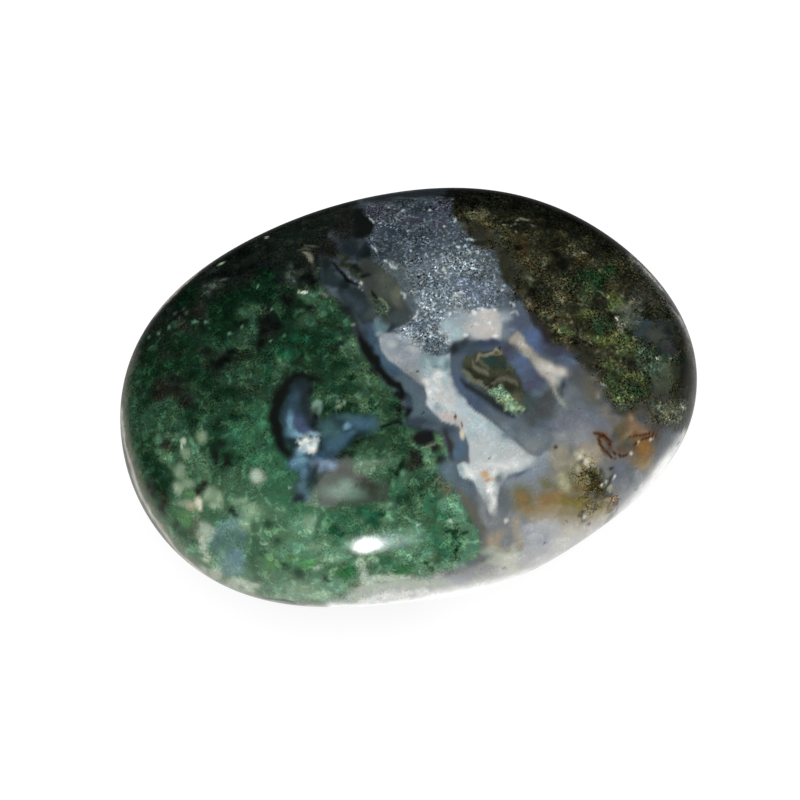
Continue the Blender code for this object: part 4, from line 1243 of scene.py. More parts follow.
ISLAND_MARKS = (
    (agate(38, 44, 47), strand, BLACK_BORDER, 2.8, CALM),
    (agate(30, 34, 30), spots, [
        (497, 395, 4, 3), (488, 386, 4, 1.6, 10), (524, 411, 5, 2),
    ], 0.7, WAVY, 0.3),
    (agate(64, 79, 76), spots, [(531, 402, 7, 12, -8), (537, 415, 9, 7)], 0.8, WAVY, 0.2),
    (moss(116, 142, 112, 0.6, 0.1, 0.5), patch, MINT_EDGE, 1.1, CALM),
    (agate(152, 176, 142), spots, [
        (493.5, 389, 2, 1.8), (498, 393.5, 1.6, 1.4), (502, 397.5, 2, 1.8), (507, 403, 1.6, 1.8),
        (512.5, 407, 1.8, 1.4), (519, 408.5, 2, 1.3), (524, 409, 1.6, 1), (500, 386, 1.2, 1.6),
        (508, 396, 1.6, 1.2), (505, 408, 1.3, 1.3),
    ], 0.9, CALM, 0.4),
    (agate(98, 120, 106), spots, [
        (515, 413.5, 1.6, 1.2), (519, 417, 1.3, 2.4), (522, 414, 1.2, 1),
    ], 0.9, WAVY, 0.4),
)
lay_marks(ISLAND_MARKS)

# The blue round the bone
# The chalcedony between the eye and the olive moss is deep, so it is the bluest of all, and it smears to
# brown where it meets the moss.

BONE_EDGE = [
    (510, 341), (513, 336), (518, 333.5), (522, 338), (525, 344), (530, 349), (533, 354), (538, 358),
    (544, 361.5), (550, 364), (556, 366), (562, 367), (566, 370), (567, 376), (563, 378), (559, 381),
    (557, 386), (555, 391), (552, 388), (550, 383), (547, 379), (542, 375), (538, 370), (532, 365),
    (527, 359), (522, 354), (516, 348), (511, 345),
]
BLUE_PATCHES = (
    (agate(84, 101, 130), [(520, 360, 9, 5, 25), (525, 368, 8, 5, 30)]),
    (agate(76, 86, 106), [(534, 374, 7, 7, 30), (534, 384, 5, 6, 20), (541, 382, 8, 8, 30)]),
    (agate(74, 76, 96), [(532, 386, 5, 4), (541, 377, 4, 4)]),
    (agate(62, 63, 69), [(546, 397, 8, 9, -10), (541, 408, 7, 8)]),
    (agate(92, 108, 118), [(547, 387, 4, 4), (556, 384, 4, 4), (538, 392, 5, 3)]),
    (agate(80, 89, 107), [(522, 322, 8, 10, -20), (512, 328, 8, 7)]),
    (agate(85, 103, 138), [(532, 338, 8, 9, -20), (536, 347, 6, 6)]),
    (agate(62, 66, 82), [(553, 352, 14, 6, 20), (545, 345, 4, 6, -20)]),
    (agate(86, 99, 118), [(569, 363, 8, 8, 20), (562, 358, 5, 3)]),
    (agate(112, 124, 134), [(507, 334, 5, 7), (512, 331, 4, 3)]),
)
lay_patches(BLUE_PATCHES, 0.9, WAVY, 0.25)
BONE_MARKS = (
    (agate(157, 154, 144), patch, BONE_EDGE, 2.6, WAVY),
    (agate(186, 183, 176), spots, [
        (555, 371, 11, 5, 8), (545, 368, 8, 4.5, 30), (552, 379, 4, 6, -30), (521, 346, 5, 2.5, 45),
    ], 0.8, WAVY, 0.3),
    (agate(204, 200, 192), spots, [(552, 370, 6, 3, 10), (560, 372, 4, 3)], 0.8, WAVY, 0.3),
    (agate(132, 151, 151), spots, [(559.5, 379, 2.4, 1.6)], 0.8, CALM, 0.2),
    (agate(44, 42, 40), spots, [(544, 334, 4, 12, -25), (534, 320, 3, 8, -20)], 0.7, WAVY, 0.2),
    (agate(52, 55, 52), spots, [(562, 387, 2, 3), (562, 395, 2, 4)], 0.8, WAVY, 0.2),
    (agate(34, 38, 40), spots, [(507, 343, 1.2, 1.2), (503.5, 342, 0.9, 0.9)], 0.6, CALM, 0),
)
lay_marks(BONE_MARKS)

# The milky lower right
# Thin, milky lavender chalcedony, stained orange and brown by iron along old cracks, with rust-red threads
# and a few dark pits near the edge.

LEAD = agate(76, 80, 80)
PEWTER = agate(95, 104, 110)
LAVENDER = agate(107, 112, 123)
BLUE_MIST = agate(133, 146, 157)
GREY_MIST = agate(127, 132, 133)
PALE_LAVENDER = agate(135, 139, 144)
MILKY_BLUE = agate(162, 167, 174)
MILKY = agate(177, 179, 181)
WHITE_MILK = agate(204, 204, 200)
SHELL = agate(196, 191, 176)
CELADON = agate(172, 182, 166)
PALE_CELADON = agate(208, 209, 192)
TAN = agate(150, 146, 127)
BUFF = agate(163, 153, 132)
HONEY = agate(155, 139, 106)
OCHRE = agate(137, 113, 74)
MUSTARD = agate(128, 118, 62)
MOSS_BROWN = agate(110, 99, 66)
OLIVE_BROWN = agate(112, 110, 82)
PALE_LICHEN = agate(167, 167, 132)
RUST = agate(130, 99, 61)
SALMON = agate(138, 108, 80)
UMBRA = agate(92, 77, 56)
ASHEN = agate(112, 109, 102)

MILKY_EDGE = [
    (505, 560), (520, 530), (545, 515), (575, 508), (600, 525), (625, 500), (650, 478), (680, 450),
    (720, 440), (720, 560), (560, 640), (440, 640), (430, 585), (470, 574), (490, 570),
]
LAVENDER_EDGE = [
    (560, 400), (570, 388), (578, 391), (584, 403), (592, 410), (606, 414), (624, 420), (650, 430),
    (680, 432), (700, 440), (700, 560), (560, 620), (480, 640), (455, 585), (485, 560), (490, 530),
    (500, 505), (505, 480), (530, 470), (548, 452), (560, 430), (552, 412),
]
LAVENDER_MARKS = (
    (agate(80, 83, 86), spots, [(577, 373, 8, 7), (574, 384, 7, 6)], 0.9, WAVY, 0.3),
    (agate(91, 91, 80), spots, [
        (588, 398, 6, 11, -30), (598, 406, 9, 5, 20), (590, 384, 5, 9),
    ], 0.9, WAVY, 0.4),
    (agate(116, 121, 127), patch, LAVENDER_EDGE, 5, CALM),
    (agate(118, 101, 80), spots, [
        (645, 446, 15, 19, -10), (603, 441, 8, 10, -20), (626, 432, 14, 10),
    ], 1.0, WAVY, 0.3),
)
lay_marks(LAVENDER_MARKS)
GOLDEN_GROUND = [(548, 502, 34, 15, 4), (582, 488, 26, 30, -20), (572, 466, 18, 14)]
lay(agate(134, 126, 98), 0.6 * spots(GOLDEN_GROUND, 1.2, WAVY, 0.3))
lay(agate(186, 186, 184), patch(MILKY_EDGE, 9, CALM))
MILKY_PATCHES = (
    # slate and lavender beside the eye, and blue below the white agate
    (LEAD, [(533, 417, 7, 7), (532, 423, 7, 6), (548, 408, 9, 11, -10), (553, 395, 6, 8, -10)]),
    (PEWTER, [
        (520, 434, 20, 8, 15), (500, 420, 14, 5, 40), (564, 408, 6, 8, 10), (576, 400, 8, 10, -20),
        (592, 411, 8, 6), (571, 414, 8, 5),
    ]),
    (LAVENDER, [
        (584, 418, 9, 7), (597, 425, 9, 5), (602, 420, 6, 6), (560, 424, 12, 5), (564, 430, 8, 5),
    ]),
    (agate(111, 123, 131), [(538, 441, 9, 6), (524, 440, 8, 5), (507, 431, 8, 4, 40)]),
    (GREY_MIST, [
        (568, 438, 16, 6), (573, 444, 9, 4), (532, 448, 9, 6), (541, 474, 7, 8), (537, 487, 8, 5),
    ]),
    (PALE_LAVENDER, [(581, 432, 8, 5), (585, 441, 9, 5, 20), (560, 436, 5, 3)]),
    (BLUE_MIST, [(516, 484, 14, 8, -10), (530, 474, 14, 5, -20), (542, 462, 7, 6), (547, 455, 5, 4)]),
    (agate(78, 88, 112), [(522, 474, 6, 1.6, -15)]),
    (PEWTER, [(504, 499, 6, 14, -8), (499, 478, 4, 5), (572, 451, 6, 4), (506, 512, 4, 5)]),
    (GREY_MIST, [
        (506, 531, 6, 12, -10), (496, 521, 6, 8), (482, 508, 5, 14, -15), (488, 524, 5, 8, -20),
        (516, 517, 7, 5), (526, 520, 5, 4),
    ]),
    # the tan, olive and golden stains
    (TAN, [
        (560, 453, 9, 7, 30), (562, 463, 8, 6, 30), (572, 464, 8, 5, 20), (560, 475, 6, 5),
        (582, 461, 7, 7),
    ]),
    (BUFF, [(595, 450, 9, 6), (586, 449, 6, 4), (596, 459, 4, 4)]),
    (OLIVE_BROWN, [
        (546, 484, 6, 6), (521, 494, 11, 9, 10), (557, 487, 4, 5), (525, 503, 9, 6), (518, 506, 6, 4),
    ]),
    (agate(127, 121, 97), [(571, 476, 8, 6, 20), (582, 474, 7, 7)]),
    (MOSS_BROWN, [
        (577, 487, 8, 9), (586, 487, 7, 8), (584, 499, 12, 9, 20), (570, 500, 8, 6),
        (558, 500, 12, 5, -5), (523, 499, 5, 4),
    ]),
    (HONEY, [(546, 510, 14, 6, -5), (561, 508, 10, 5), (536, 514, 10, 5), (550, 505, 11, 5)]),
    (OCHRE, [
        (553, 497, 13, 5, -8), (546, 502, 7, 4), (566, 492, 4, 2.5, 20), (529, 509, 8, 4),
        (521, 499, 5, 4),
    ]),
    (MUSTARD, [(580, 505, 8, 6), (577, 511, 5, 4), (566, 502, 6, 3), (600, 503, 4, 3), (598, 509, 3, 3)]),
    (PALE_LICHEN, [(562, 483, 4, 7, -25), (567, 490, 4, 4, 30), (560, 476, 3, 3)]),
    (agate(140, 129, 98), [(568, 513, 10, 5), (582, 520, 9, 5, -20), (576, 518, 6, 4)]),
    (agate(166, 150, 98), [(601, 511, 9, 6, -30)]),
    # the milky part
    (MILKY_BLUE, [(532, 531, 13, 7), (541, 540, 16, 7), (527, 541, 8, 6), (546, 552, 6, 5)]),
    (MILKY, [(546, 529, 12, 5), (558, 531, 9, 6), (533, 552, 10, 6), (524, 556, 5, 8)]),
    (BUFF, [(548, 519, 15, 3.5, -5), (565, 519, 8, 4), (535, 521, 6, 2.5)]),
    (SHELL, [(571, 531, 8, 6, -30), (586, 528, 9, 5, -30), (601, 519, 7, 5, -30)]),
    (WHITE_MILK, [
        (560, 545, 10, 6, -30), (556, 555, 8, 5, -30), (569, 540, 8, 5, -30), (540, 561, 10, 4, -15),
    ]),
    (BUFF, [(517, 528, 3.5, 8), (518, 540, 4, 5), (494, 541, 8, 7, 20), (501, 536, 5, 4)]),
    (GREY_MIST, [(508, 541, 5, 7)]),
    (CELADON, [(496, 561, 9, 5), (500, 554, 6, 4), (513, 551, 6, 4), (489, 551, 5, 4)]),
    (PALE_CELADON, [(510, 558, 8, 5), (506, 563, 5, 3), (511, 570, 8, 4.5, -10)]),
    (TAN, [(507, 549, 6, 2.5), (520, 547, 3, 3)]),
    (agate(148, 149, 145), [(474, 570, 12, 5), (460, 575, 10, 5), (444, 576, 10, 4), (484, 566, 6, 5)]),
    (agate(98, 97, 84), [(473, 512, 4, 12, -20), (482, 528, 3, 8, -20), (481, 558, 4, 3, 10)]),
    (MILKY_BLUE, [(448, 581, 14, 4), (462, 580, 10, 4)]),
    (WHITE_MILK, [
        (492, 580, 10, 4), (506, 578, 10, 4), (478, 583, 8, 3), (440, 590, 12, 4), (422, 591, 8, 4),
    ]),
    # what lies round the threads
    (ASHEN, [(612, 420, 6, 7, 30), (606, 412, 6, 5), (612, 461, 8, 4), (630, 459, 7, 4)]),
    (agate(62, 62, 51), [(620, 414, 7, 4), (628, 416, 4, 3)]),
    (agate(98, 88, 65), [(622, 427, 7, 6), (628, 424, 4, 4), (620, 436, 5, 4), (616, 430, 4, 4)]),
    (LEAD, [(641, 418, 8, 5), (653, 428, 6, 5), (608, 447, 5, 6), (613, 437, 4, 4)]),
    (LAVENDER, [(620, 466, 9, 6), (618, 476, 6, 7)]),
    (PEWTER, [(632, 476, 4, 8, -10), (613, 472, 3, 5)]),
    (GREY_MIST, [(637, 480, 3, 5), (628, 487, 6, 4)]),
    (PALE_LAVENDER, [(628, 493, 8, 4, -40), (640, 476, 4, 5)]),
    (SALMON, [(638, 428, 8, 5, 20), (632, 420, 4, 5), (647, 431, 7, 3, 20)]),
    (agate(154, 133, 102), [(630, 434, 6, 2.2, -30), (625, 438, 3, 2), (632, 419, 2.2, 2.4)]),
    (UMBRA, [(636, 440, 5, 6), (633, 447, 4, 4), (620, 448, 6, 5)]),
    (agate(82, 82, 71), [(628, 445, 5, 4), (626, 440, 4, 3)]),
    (RUST, [(646, 446, 9, 11, -10), (641, 453, 6, 7), (652, 453, 5, 7)]),
    (agate(147, 109, 60), [(644, 449, 3.5, 7, -10)]),
    (OCHRE, [(641, 461, 7, 3.5)]),
    (HONEY, [(651, 463, 5, 3, -40), (645, 467, 7, 3)]),
    (agate(77, 77, 73), [(660, 440, 4, 10, 15), (657, 430, 5, 5), (663, 428, 7, 4)]),
    (PEWTER, [(667, 440, 4, 11, 20), (660, 453, 3, 8, 30)]),
)
lay_patches(MILKY_PATCHES, 1.15, WAVY, 0.3)

BONE_DRIP = [(554, 388, 1.8), (557, 396, 1.8), (561, 402, 2.6), (565, 407, 1.2)]
lay(agate(138, 142, 135), strand(BONE_DRIP, 2, CALM))

# crumbs and pits
CRUMBS = (
    (moss(122, 114, 86, 0.9, 0.12, 0.5), [(580, 474, 9, 9, -20), (585, 463, 7, 6)]),
    (olive(90, 84, 55, 1.2, 0.2), [
        (592, 482, 9, 10, -20), (602, 490, 8, 8, 30), (590, 470, 5, 4), (597, 474, 7, 5),
        (607, 484, 4, 6),
    ]),
    (olive(66, 62, 36, 1.0, 0.25), [
        (592, 476, 5, 3, 30), (590, 488, 5, 3), (604, 493, 6, 4, 30), (600, 483, 4, 3),
    ]),
    (moss(110, 99, 64, 0.8, 0.1, 0.5), [(592, 506, 9, 4, -20), (588, 497, 6, 3)]),
    (moss(140, 114, 76, 1.3, 0.2, 0.8), [(613, 501, 5, 6, 20), (610, 507, 4, 4)]),
)
lay_patches(CRUMBS, 0.9, WAVY, 0.5)
PALE_FLAKES = (
    (agate(176, 170, 146), spots, [
        (580, 457, 5, 4), (588, 463, 3, 4), (578, 470, 2.4, 4, -20), (585, 453, 4, 2.4), (612, 488, 2, 3),
    ], 0.8, WAVY, 0.5),
    (agate(214, 210, 194), spots, [
        (580.5, 457, 2.4, 1.8), (586.5, 461, 1.8, 2.8), (602, 484, 2, 1.2, -30), (606.5, 482, 1.6, 1.4),
    ], 0.7, CALM, 0.3),
)
lay_marks(PALE_FLAKES)
PITS = [
    (616.5, 503, 1.8, 2.4), (610, 511, 2.4, 1.1, -20), (581, 516.5, 2.4, 1.6, 30), (588, 525, 1.8, 1.6),
    (584, 521, 1.2, 2.2), (617, 508, 1.4, 1.2), (555.5, 446, 2.1, 2), (545.5, 543, 1.3, 0.9),
    (504.5, 568.5, 1.6, 1.4), (637, 443, 2, 2), (611, 469, 2, 1.5), (595, 476, 2.2, 1.2, 30),
    (598, 487, 1.6, 1.1), (605, 496, 2.2, 1.4), (583, 512, 1.8, 1.6),
]
lay(agate(44, 38, 27), spots(PITS, 0.7, CALM, 0.3))
DARK_LINE = [(613, 475, 0.6), (610, 482, 1.1), (606, 487, 0.8)]
lay(agate(58, 60, 56), strand(DARK_LINE, 1.0, CALM))
CRACKS = [
    [(604, 525, 0.9), (608, 521, 1.8), (612, 516, 2.0), (614, 513, 1.0)],
    [(613, 518, 0.8), (616, 514, 1.4), (618, 509, 1.0)],
]
for crack in CRACKS:
    lay(agate(40, 38, 30), strand(crack, 0.9, CALM))
LIGHT_SPECKS = [(614.5, 477, 0.9, 2.2, 20), (505.5, 521, 1.5, 2.6), (585.5, 518, 1.4, 1.8)]
lay(agate(214, 216, 210), spots(LIGHT_SPECKS, 0.7, CALM, 0.2))

THREADS = [
    [(594, 433, 1.0), (599, 434, 2.2), (605, 436, 2.4), (609, 441, 2.0), (611, 447, 1.2)],
    [(599, 437, 1.4), (601, 444, 2.0), (604, 450, 2.0), (609, 455, 2.0), (615, 459, 1.0)],
    [(613, 447, 0.8), (615, 453, 1.5), (621, 455.5, 1.6), (627, 454.5, 1.4), (631, 452, 0.9)],
    [(630, 436, 0.5), (636, 434.5, 0.9), (643, 434, 1.2), (650, 432.5, 1.2), (657, 432, 0.9)],
    [(641, 440, 0.7), (644, 437.5, 1.2), (650, 436, 1.2), (657, 435, 0.9)],
]
for thread in THREADS:
    lay(agate(122, 80, 52), 0.85 * strand(thread, 1.8, CALM))
    lay(agate(52, 32, 20), strand([(x, y + 0.5, 0.7 * half_width) for x, y, half_width in thread], 0.9, CALM))
THREAD_SPECKS = [(632, 453, 1.8, 1.4), (652, 438.5, 1.8, 1.0), (639, 442, 0.9, 1.6)]
lay(agate(228, 219, 200), spots(THREAD_SPECKS, 0.7, CALM, 0))

# The rim's painted light
# Painted light and painted reflection: the card's light through the stone's thin clear edge is painted in,
# widest at the lower right, where it fades into the card, and the card's reflection is painted as a bright
# hairline with a grey glow at the left. Small dark chips break it.


def of_width(route, half_width):
    """A route with the same half width all along."""
    return [(x, y, half_width) for x, y, *_ in route]


LEFT_RIM = [
    (262, 231), (240, 243), (220, 255), (200, 269), (180, 287), (163, 304), (150, 320), (139, 337),
    (131, 351), (126, 365), (122, 381), (120.5, 400), (121, 418), (123.5, 440), (129, 460), (135, 480),
    (143, 498), (152, 516), (164, 534), (180, 554), (200, 572), (222, 588), (250, 599), (285, 606),
    (330, 609),
]
FRONT_RIM = [
    (330, 606, 3), (380, 604, 4), (420, 600, 4), (460, 594, 4), (500, 586, 4), (540, 573, 4),
    (575, 556, 4), (605, 534, 5), (632, 508, 6), (655, 482, 6), (672, 456, 4), (684, 434, 1),
]
RIGHT_RIM = [
    (696, 400, 1), (698, 385, 1), (697, 366, 2), (693, 348, 3), (686, 330, 3), (678, 314, 3),
    (668, 298, 3), (657, 282, 3), (645, 268, 3), (632, 256, 3),
]
BOTTOM_GLOW = [(350, 596, 3), (368, 590, 5), (385, 587, 5), (405, 585, 5), (428, 583, 5), (448, 584, 4)]
BOTTOM_STREAK = [(362, 600, 2), (380, 597, 4), (398, 595, 4.5), (412, 592, 3), (424, 590, 2)]

# Each painted light of the rim: its tone, how strong it is, its route, and its edge and drift.
PAINTED_RIM_LIGHTS = (
    (agate(138, 136, 120), 0.8, of_width(LEFT_RIM[8:], 4), 6, CALM),
    (agate(120, 120, 106), 0.35, of_width(LEFT_RIM[:9], 1), 4, CALM),
    (agate(232, 228, 220), 0.85, of_width(LEFT_RIM, 0.8), 1.5, CALM),
    (agate(176, 186, 172), 1, BOTTOM_GLOW, 4, WAVY),
    (agate(206, 208, 206), 0.7, FRONT_RIM, 12, CALM),
    (agate(252, 252, 250), 0.95, FRONT_RIM[3:], 6, CALM),
    (agate(222, 223, 217), 1, BOTTOM_STREAK, 4, WAVY),
    (agate(252, 252, 250), 0.8, of_width(FRONT_RIM[:4], 1.5), 3, CALM),
    (agate(140, 143, 136), 0.5, RIGHT_RIM, 6, CALM),
    (agate(214, 214, 210), 0.6, of_width(RIGHT_RIM[2:], 1), 2, CALM),
)
for tone, strength, route, edge, drift in PAINTED_RIM_LIGHTS:
    lay(tone, strength * strand(route, edge, drift))
CHIPS = [
    [(630, 255, 0.6), (634, 258, 1.4), (638, 261, 1.0)],
    [(661, 291, 0.6), (664, 294, 1.6), (668, 299, 1.2), (672, 305, 1.4)],
    [(671, 303, 0.6), (675, 309, 1.4), (679, 315, 0.8)],
    [(690, 347, 0.6), (693, 353, 1.2), (696, 362, 1.2), (698, 371, 0.6)],
    [(679, 424, 1.2), (682, 428, 1.8), (680, 433, 1.0)], [(677, 444, 1.2), (679, 441, 0.8)],
    [(533, 571, 0.5), (537, 569.5, 1.0), (540, 568.5, 0.5)],
    [(262, 598, 0.8), (284, 600, 1.0), (296, 603, 0.8)],
]
for chip in CHIPS:
    lay(agate(32, 32, 28), 0.85 * strand(chip, 0.9, CALM))

# painted light: the front edge is given its own glow, for the card's light in it, most along the rim and less
# in a wider band at the right, but little in one dull spot
RIM_GLOW, BAND_GLOW = 0.4, 0.16
GLOW_TOP, GLOW_FADE = 410, 70  # pixels down
DULL_SPOT = [(609, 517, 12, 5, -42)]
glow = np.maximum(
    RIM_GLOW * strand(of_width(FRONT_RIM, 3), 7, CALM),
    BAND_GLOW * strand(of_width(FRONT_RIM[5:-1], 5), 14, CALM),
)
glow *= eased((pixel_y - GLOW_TOP) / GLOW_FADE) * (1 - 0.8 * spots(DULL_SPOT, 0.6, CALM, 0.2))

# The stone's mesh and its polish
# The polish is nearly even all over. Under it, each crumb of moss has its own shade, and the quartz seam
# sparkles.

GRAIN_DEPTH = 0.55  # the share of the depth along the line of sight that the grain's coordinates leave out
AGATE_IOR = 1.54
# the colour of the glow painted into the front edge
GLOW_COLOUR = (1, 1, 0.98, 1)
PIT_COLOUR = (0.004, 0.006, 0.005, 1)
BLUER, YELLOWER = (0.9, 1.0, 1.06, 1), (1.1, 1.0, 0.9, 1)  # the moss is multiplied by either, place by place
SOFTNESS = 0.05  # of the edges of crumbs and pits
GRIT_CONTRAST = 7.0

# The sizes of the grain, in metres.
COARSE_CRUMB, FINE_CRUMB = 0.0011, 0.00042
COARSE_PIT, FINE_PIT = 0.0009, 0.00036
CRYSTAL, GRIT_GRAIN = 0.00022, 0.0002
CRUMBLY_PLACE, CLUMP, YELLOWER_PLACE = 0.0024, 0.0013, 0.0012
DULL_PLACE, RIPPLE = 0.003, 0.0006
RIPPLE_HEIGHT = 0.00003

mesh = bpy.data.meshes.new("polished_stone")
mesh.from_pydata((points / 1000).tolist(), [], squares.tolist())
mesh.shade_smooth()
opaque = np.ones((len(points), 1))
depth = (points @ looking_from)[:, None] * looking_from
for name, kind, field, values in (
    ("grain_place", "FLOAT_VECTOR", "vector", (points - GRAIN_DEPTH * depth) / 1000),
    ("ground", "FLOAT_COLOR", "color", np.hstack([paint[:, GROUND], opaque])),
    ("flecks", "FLOAT_COLOR", "color", np.hstack([paint[:, FLECKS], opaque])),
    ("amounts", "FLOAT_COLOR", "color", paint[:, AMOUNTS]),
    ("glow", "FLOAT", "value", glow),
):
    mesh.attributes.new(name, kind, "POINT").data.foreach_set(field, values.ravel())

polish = bpy.data.materials.new("polished moss agate")
polish.use_nodes = True
shader = polish.node_tree.nodes["Principled BSDF"]
shader.inputs["Emission Color"].default_value = GLOW_COLOUR
shader.inputs["IOR"].default_value = AGATE_IOR


def node(kind, tree=polish.node_tree, **settings):
    """A node with its own settings, in the agate's material unless another tree is given."""
    made = tree.nodes.new(kind)
    for name, setting in settings.items():
        setattr(made, name, setting)
    return made


def feed(entry, value):
    """Wires a socket to an input, or sets the input to a value."""
    if isinstance(value, bpy.types.NodeSocket):
        entry.id_data.links.new(value, entry)
    else:
        entry.default_value = value


def sockets(made, **values):
    """Feeds a node's inputs, which are named with underscores for spaces."""
    for name, value in values.items():
        feed(made.inputs[name.replace("_", " ")], value)
    return made


def stored(name):
    """The node that reads one of the mesh's attributes."""
    return node("ShaderNodeAttribute", attribute_name=name)


def grain(size, detail, roughness=0.6, distortion=0.0):
    """Noise of one size in metres, at the stone's own coordinates."""
    noise = node("ShaderNodeTexNoise")
    sockets(noise, Vector=place, Scale=1 / size, Detail=detail, Roughness=roughness, Distortion=distortion)
    return noise.outputs["Fac"]


def arithmetic(operation, first, second=0.0, third=0.0):
    """One step of arithmetic on two or three numbers, each a value or a socket."""
    made = node("ShaderNodeMath", operation=operation)
    for entry, value in zip(made.inputs, (first, second, third)):
        feed(entry, value)
    return made.outputs[0]


def blended(factor, first, second):
    """A mix of two numbers by a factor."""
    return arithmetic("MULTIPLY_ADD", factor, arithmetic("SUBTRACT", second, first), first)


def mixed(factor, first, second, blend="MIX"):
    """A mix of two colours by a factor. The node takes colours in its inputs 6 and 7."""
    made = node("ShaderNodeMix", data_type="RGBA", blend_type=blend)
    for index, value in ((0, factor), (6, first), (7, second)):
        feed(made.inputs[index], value)
    return made.outputs[2]


def multiplied(colour, factor):
    """A colour multiplied by a number or by another colour."""
    return mixed(1.0, colour, factor, "MULTIPLY")


def contrasted(colour, swing, darkest):
    """A colour multiplied by 1 plus the contrast times a swing about 0, but by no less than the darkest."""
    factor = arithmetic("MULTIPLY_ADD", swing, GRIT_CONTRAST, 1.0)
    return multiplied(colour, arithmetic("MAXIMUM", factor, darkest))


def covered(noise, share, softness):
    """1 where noise is above the level that leaves the share of the stone above it, eased over a softness."""
    level = arithmetic("MULTIPLY_ADD", share, -0.44, 0.72)
    made = sockets(
        node("ShaderNodeMapRange", interpolation_type="SMOOTHSTEP"),
        Value=noise,
        From_Min=arithmetic("SUBTRACT", level, softness),
        From_Max=arithmetic("ADD", level, softness),
    )
    return made.outputs[0]


place = stored("grain_place").outputs["Vector"]
amounts = stored("amounts")
shares = sockets(node("ShaderNodeSeparateColor"), Color=amounts.outputs["Color"])
fleck_share, dark_share, sugar = shares.outputs[:3]
grit = amounts.outputs["Alpha"]
crystals = sockets(node("ShaderNodeTexVoronoi", feature="F1"), Vector=place, Scale=1 / CRYSTAL)
shade = sockets(node("ShaderNodeSeparateColor"), Color=crystals.outputs["Color"]).outputs[0]

# crumbs and pits are coarse in the green moss, and fine in the olive moss and the quartz
fineness = arithmetic("MAXIMUM", sugar, arithmetic("MULTIPLY_ADD", grit, 1.2, -0.4))
fineness = arithmetic("MINIMUM", arithmetic("MAXIMUM", fineness, 0.0), 1.0)
crumb_noise = blended(fineness, grain(COARSE_CRUMB, 4, 0.66, 0.5), grain(FINE_CRUMB, 2, 0.65))
pit_noise = blended(fineness, grain(COARSE_PIT, 3, 0.62, 0.4), grain(FINE_PIT, 2, 0.65))
pits = covered(pit_noise, dark_share, SOFTNESS)
crumbs = covered(crumb_noise, fleck_share, SOFTNESS)
colour = mixed(crumbs, stored("ground").outputs["Color"], stored("flecks").outputs["Color"])
colour = mixed(arithmetic("MULTIPLY", pits, PIT_DEPTH), colour, PIT_COLOUR)

# most crystals of the quartz are a little dark and a few are bright, and fine crumbs differ one by one
crystal_light = arithmetic("MULTIPLY_ADD", arithmetic("POWER", shade, 6.0), 2.4, 0.66)
colour = mixed(sugar, colour, multiplied(colour, crystal_light))
speckle = arithmetic("MULTIPLY", fineness, arithmetic("SUBTRACT", 1.0, sugar))
speckle = arithmetic("MULTIPLY_ADD", arithmetic("SUBTRACT", shade, 0.5), speckle, 1.0)
colour = multiplied(colour, speckle)

# some of the moss is smooth and some of it crumbly, and some leans to yellow and some to blue
crumbly = arithmetic("MULTIPLY_ADD", covered(grain(CRUMBLY_PLACE, 2), 0.5, 0.1), 1.2, 0.4)
fine = arithmetic("SUBTRACT", grain(GRIT_GRAIN, 1, 0.6), 0.5)
fine = arithmetic("MULTIPLY", fine, arithmetic("MULTIPLY", arithmetic("MINIMUM", grit, 0.5), crumbly))
colour = contrasted(colour, fine, 0.08)
moss_grit = arithmetic("MULTIPLY", arithmetic("MINIMUM", grit, 0.35), arithmetic("SUBTRACT", 1.0, sugar))
clumps = arithmetic("MULTIPLY", arithmetic("SUBTRACT", grain(CLUMP, 2, 0.6, 0.6), 0.5), moss_grit)
colour = contrasted(colour, clumps, 0.3)
leaning = mixed(covered(grain(YELLOWER_PLACE, 2, 0.6, 0.5), 0.5, 0.12), BLUER, YELLOWER)
colour = mixed(arithmetic("MULTIPLY", moss_grit, 3.0), colour, multiplied(colour, leaning))

# the polish is a little duller here and there, and has the faintest ripples
ripples = sockets(node("ShaderNodeBump"), Strength=0.12, Distance=RIPPLE_HEIGHT, Height=grain(RIPPLE, 3, 0.6))
sockets(
    shader,
    Base_Color=colour,
    Roughness=arithmetic("MULTIPLY_ADD", grain(DULL_PLACE, 2), 0.05, 0.045),
    Normal=ripples.outputs[0],
    # the front edge's painted glow
    Emission_Strength=stored("glow").outputs["Fac"],
)

stone = bpy.data.objects.new("polished_stone", mesh)
stone.data.materials.append(polish)
bpy.context.scene.collection.objects.link(stone)
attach(stone, "root")
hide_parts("stone")

# The floor, the light and the camera
# The stone lies on white card in a dim room, under a broad soft light. Three lamps are only mirrored in the
# polish: one in front gives its bright point, a wider, bluer one the haze round that, and a dim panel the
# faint oblong above.

FLOOR_SIDE = 3.0
CARD_WHITE = 0.2
CARD_GLOW = 0.88
CARD_ROUGHNESS = 0.9
MIRRORED_MIDDLE = (-0.005, -0.03, 0)  # what the polish mirrors of the card fades out round this place
MIRRORED_REACH = (0.14, 0.1, 0.1)
LAMP_DISTANCE = 0.6
OVERHEAD_DISTANCE = 1.2
HAZE_COLOUR = (0.75, 0.9, 1.0)
ROOM_LIGHT = 0.45
PLAIN_WHITE = (1, 1, 1, 1)

half = FLOOR_SIDE / 2
card = bpy.data.meshes.new("card")
card.from_pydata([(-half, -half, 0), (half, -half, 0), (half, half, 0), (-half, half, 0)], [], [(0, 1, 2, 3)])
card_material = bpy.data.materials.new("white card")
card_material.use_nodes = True
card_tree = card_material.node_tree
mirror_ray = node("ShaderNodeLightPath", card_tree).outputs["Is Glossy Ray"]


def unless_mirrored(seen, reflected):
    """One number where the card is seen or lights the stone, and another where the polish mirrors it."""
    made = node("ShaderNodeMix", card_tree)
    for index, value in ((0, mirror_ray), (2, seen), (3, reflected)):
        feed(made.inputs[index], value)
    return made.outputs[0]


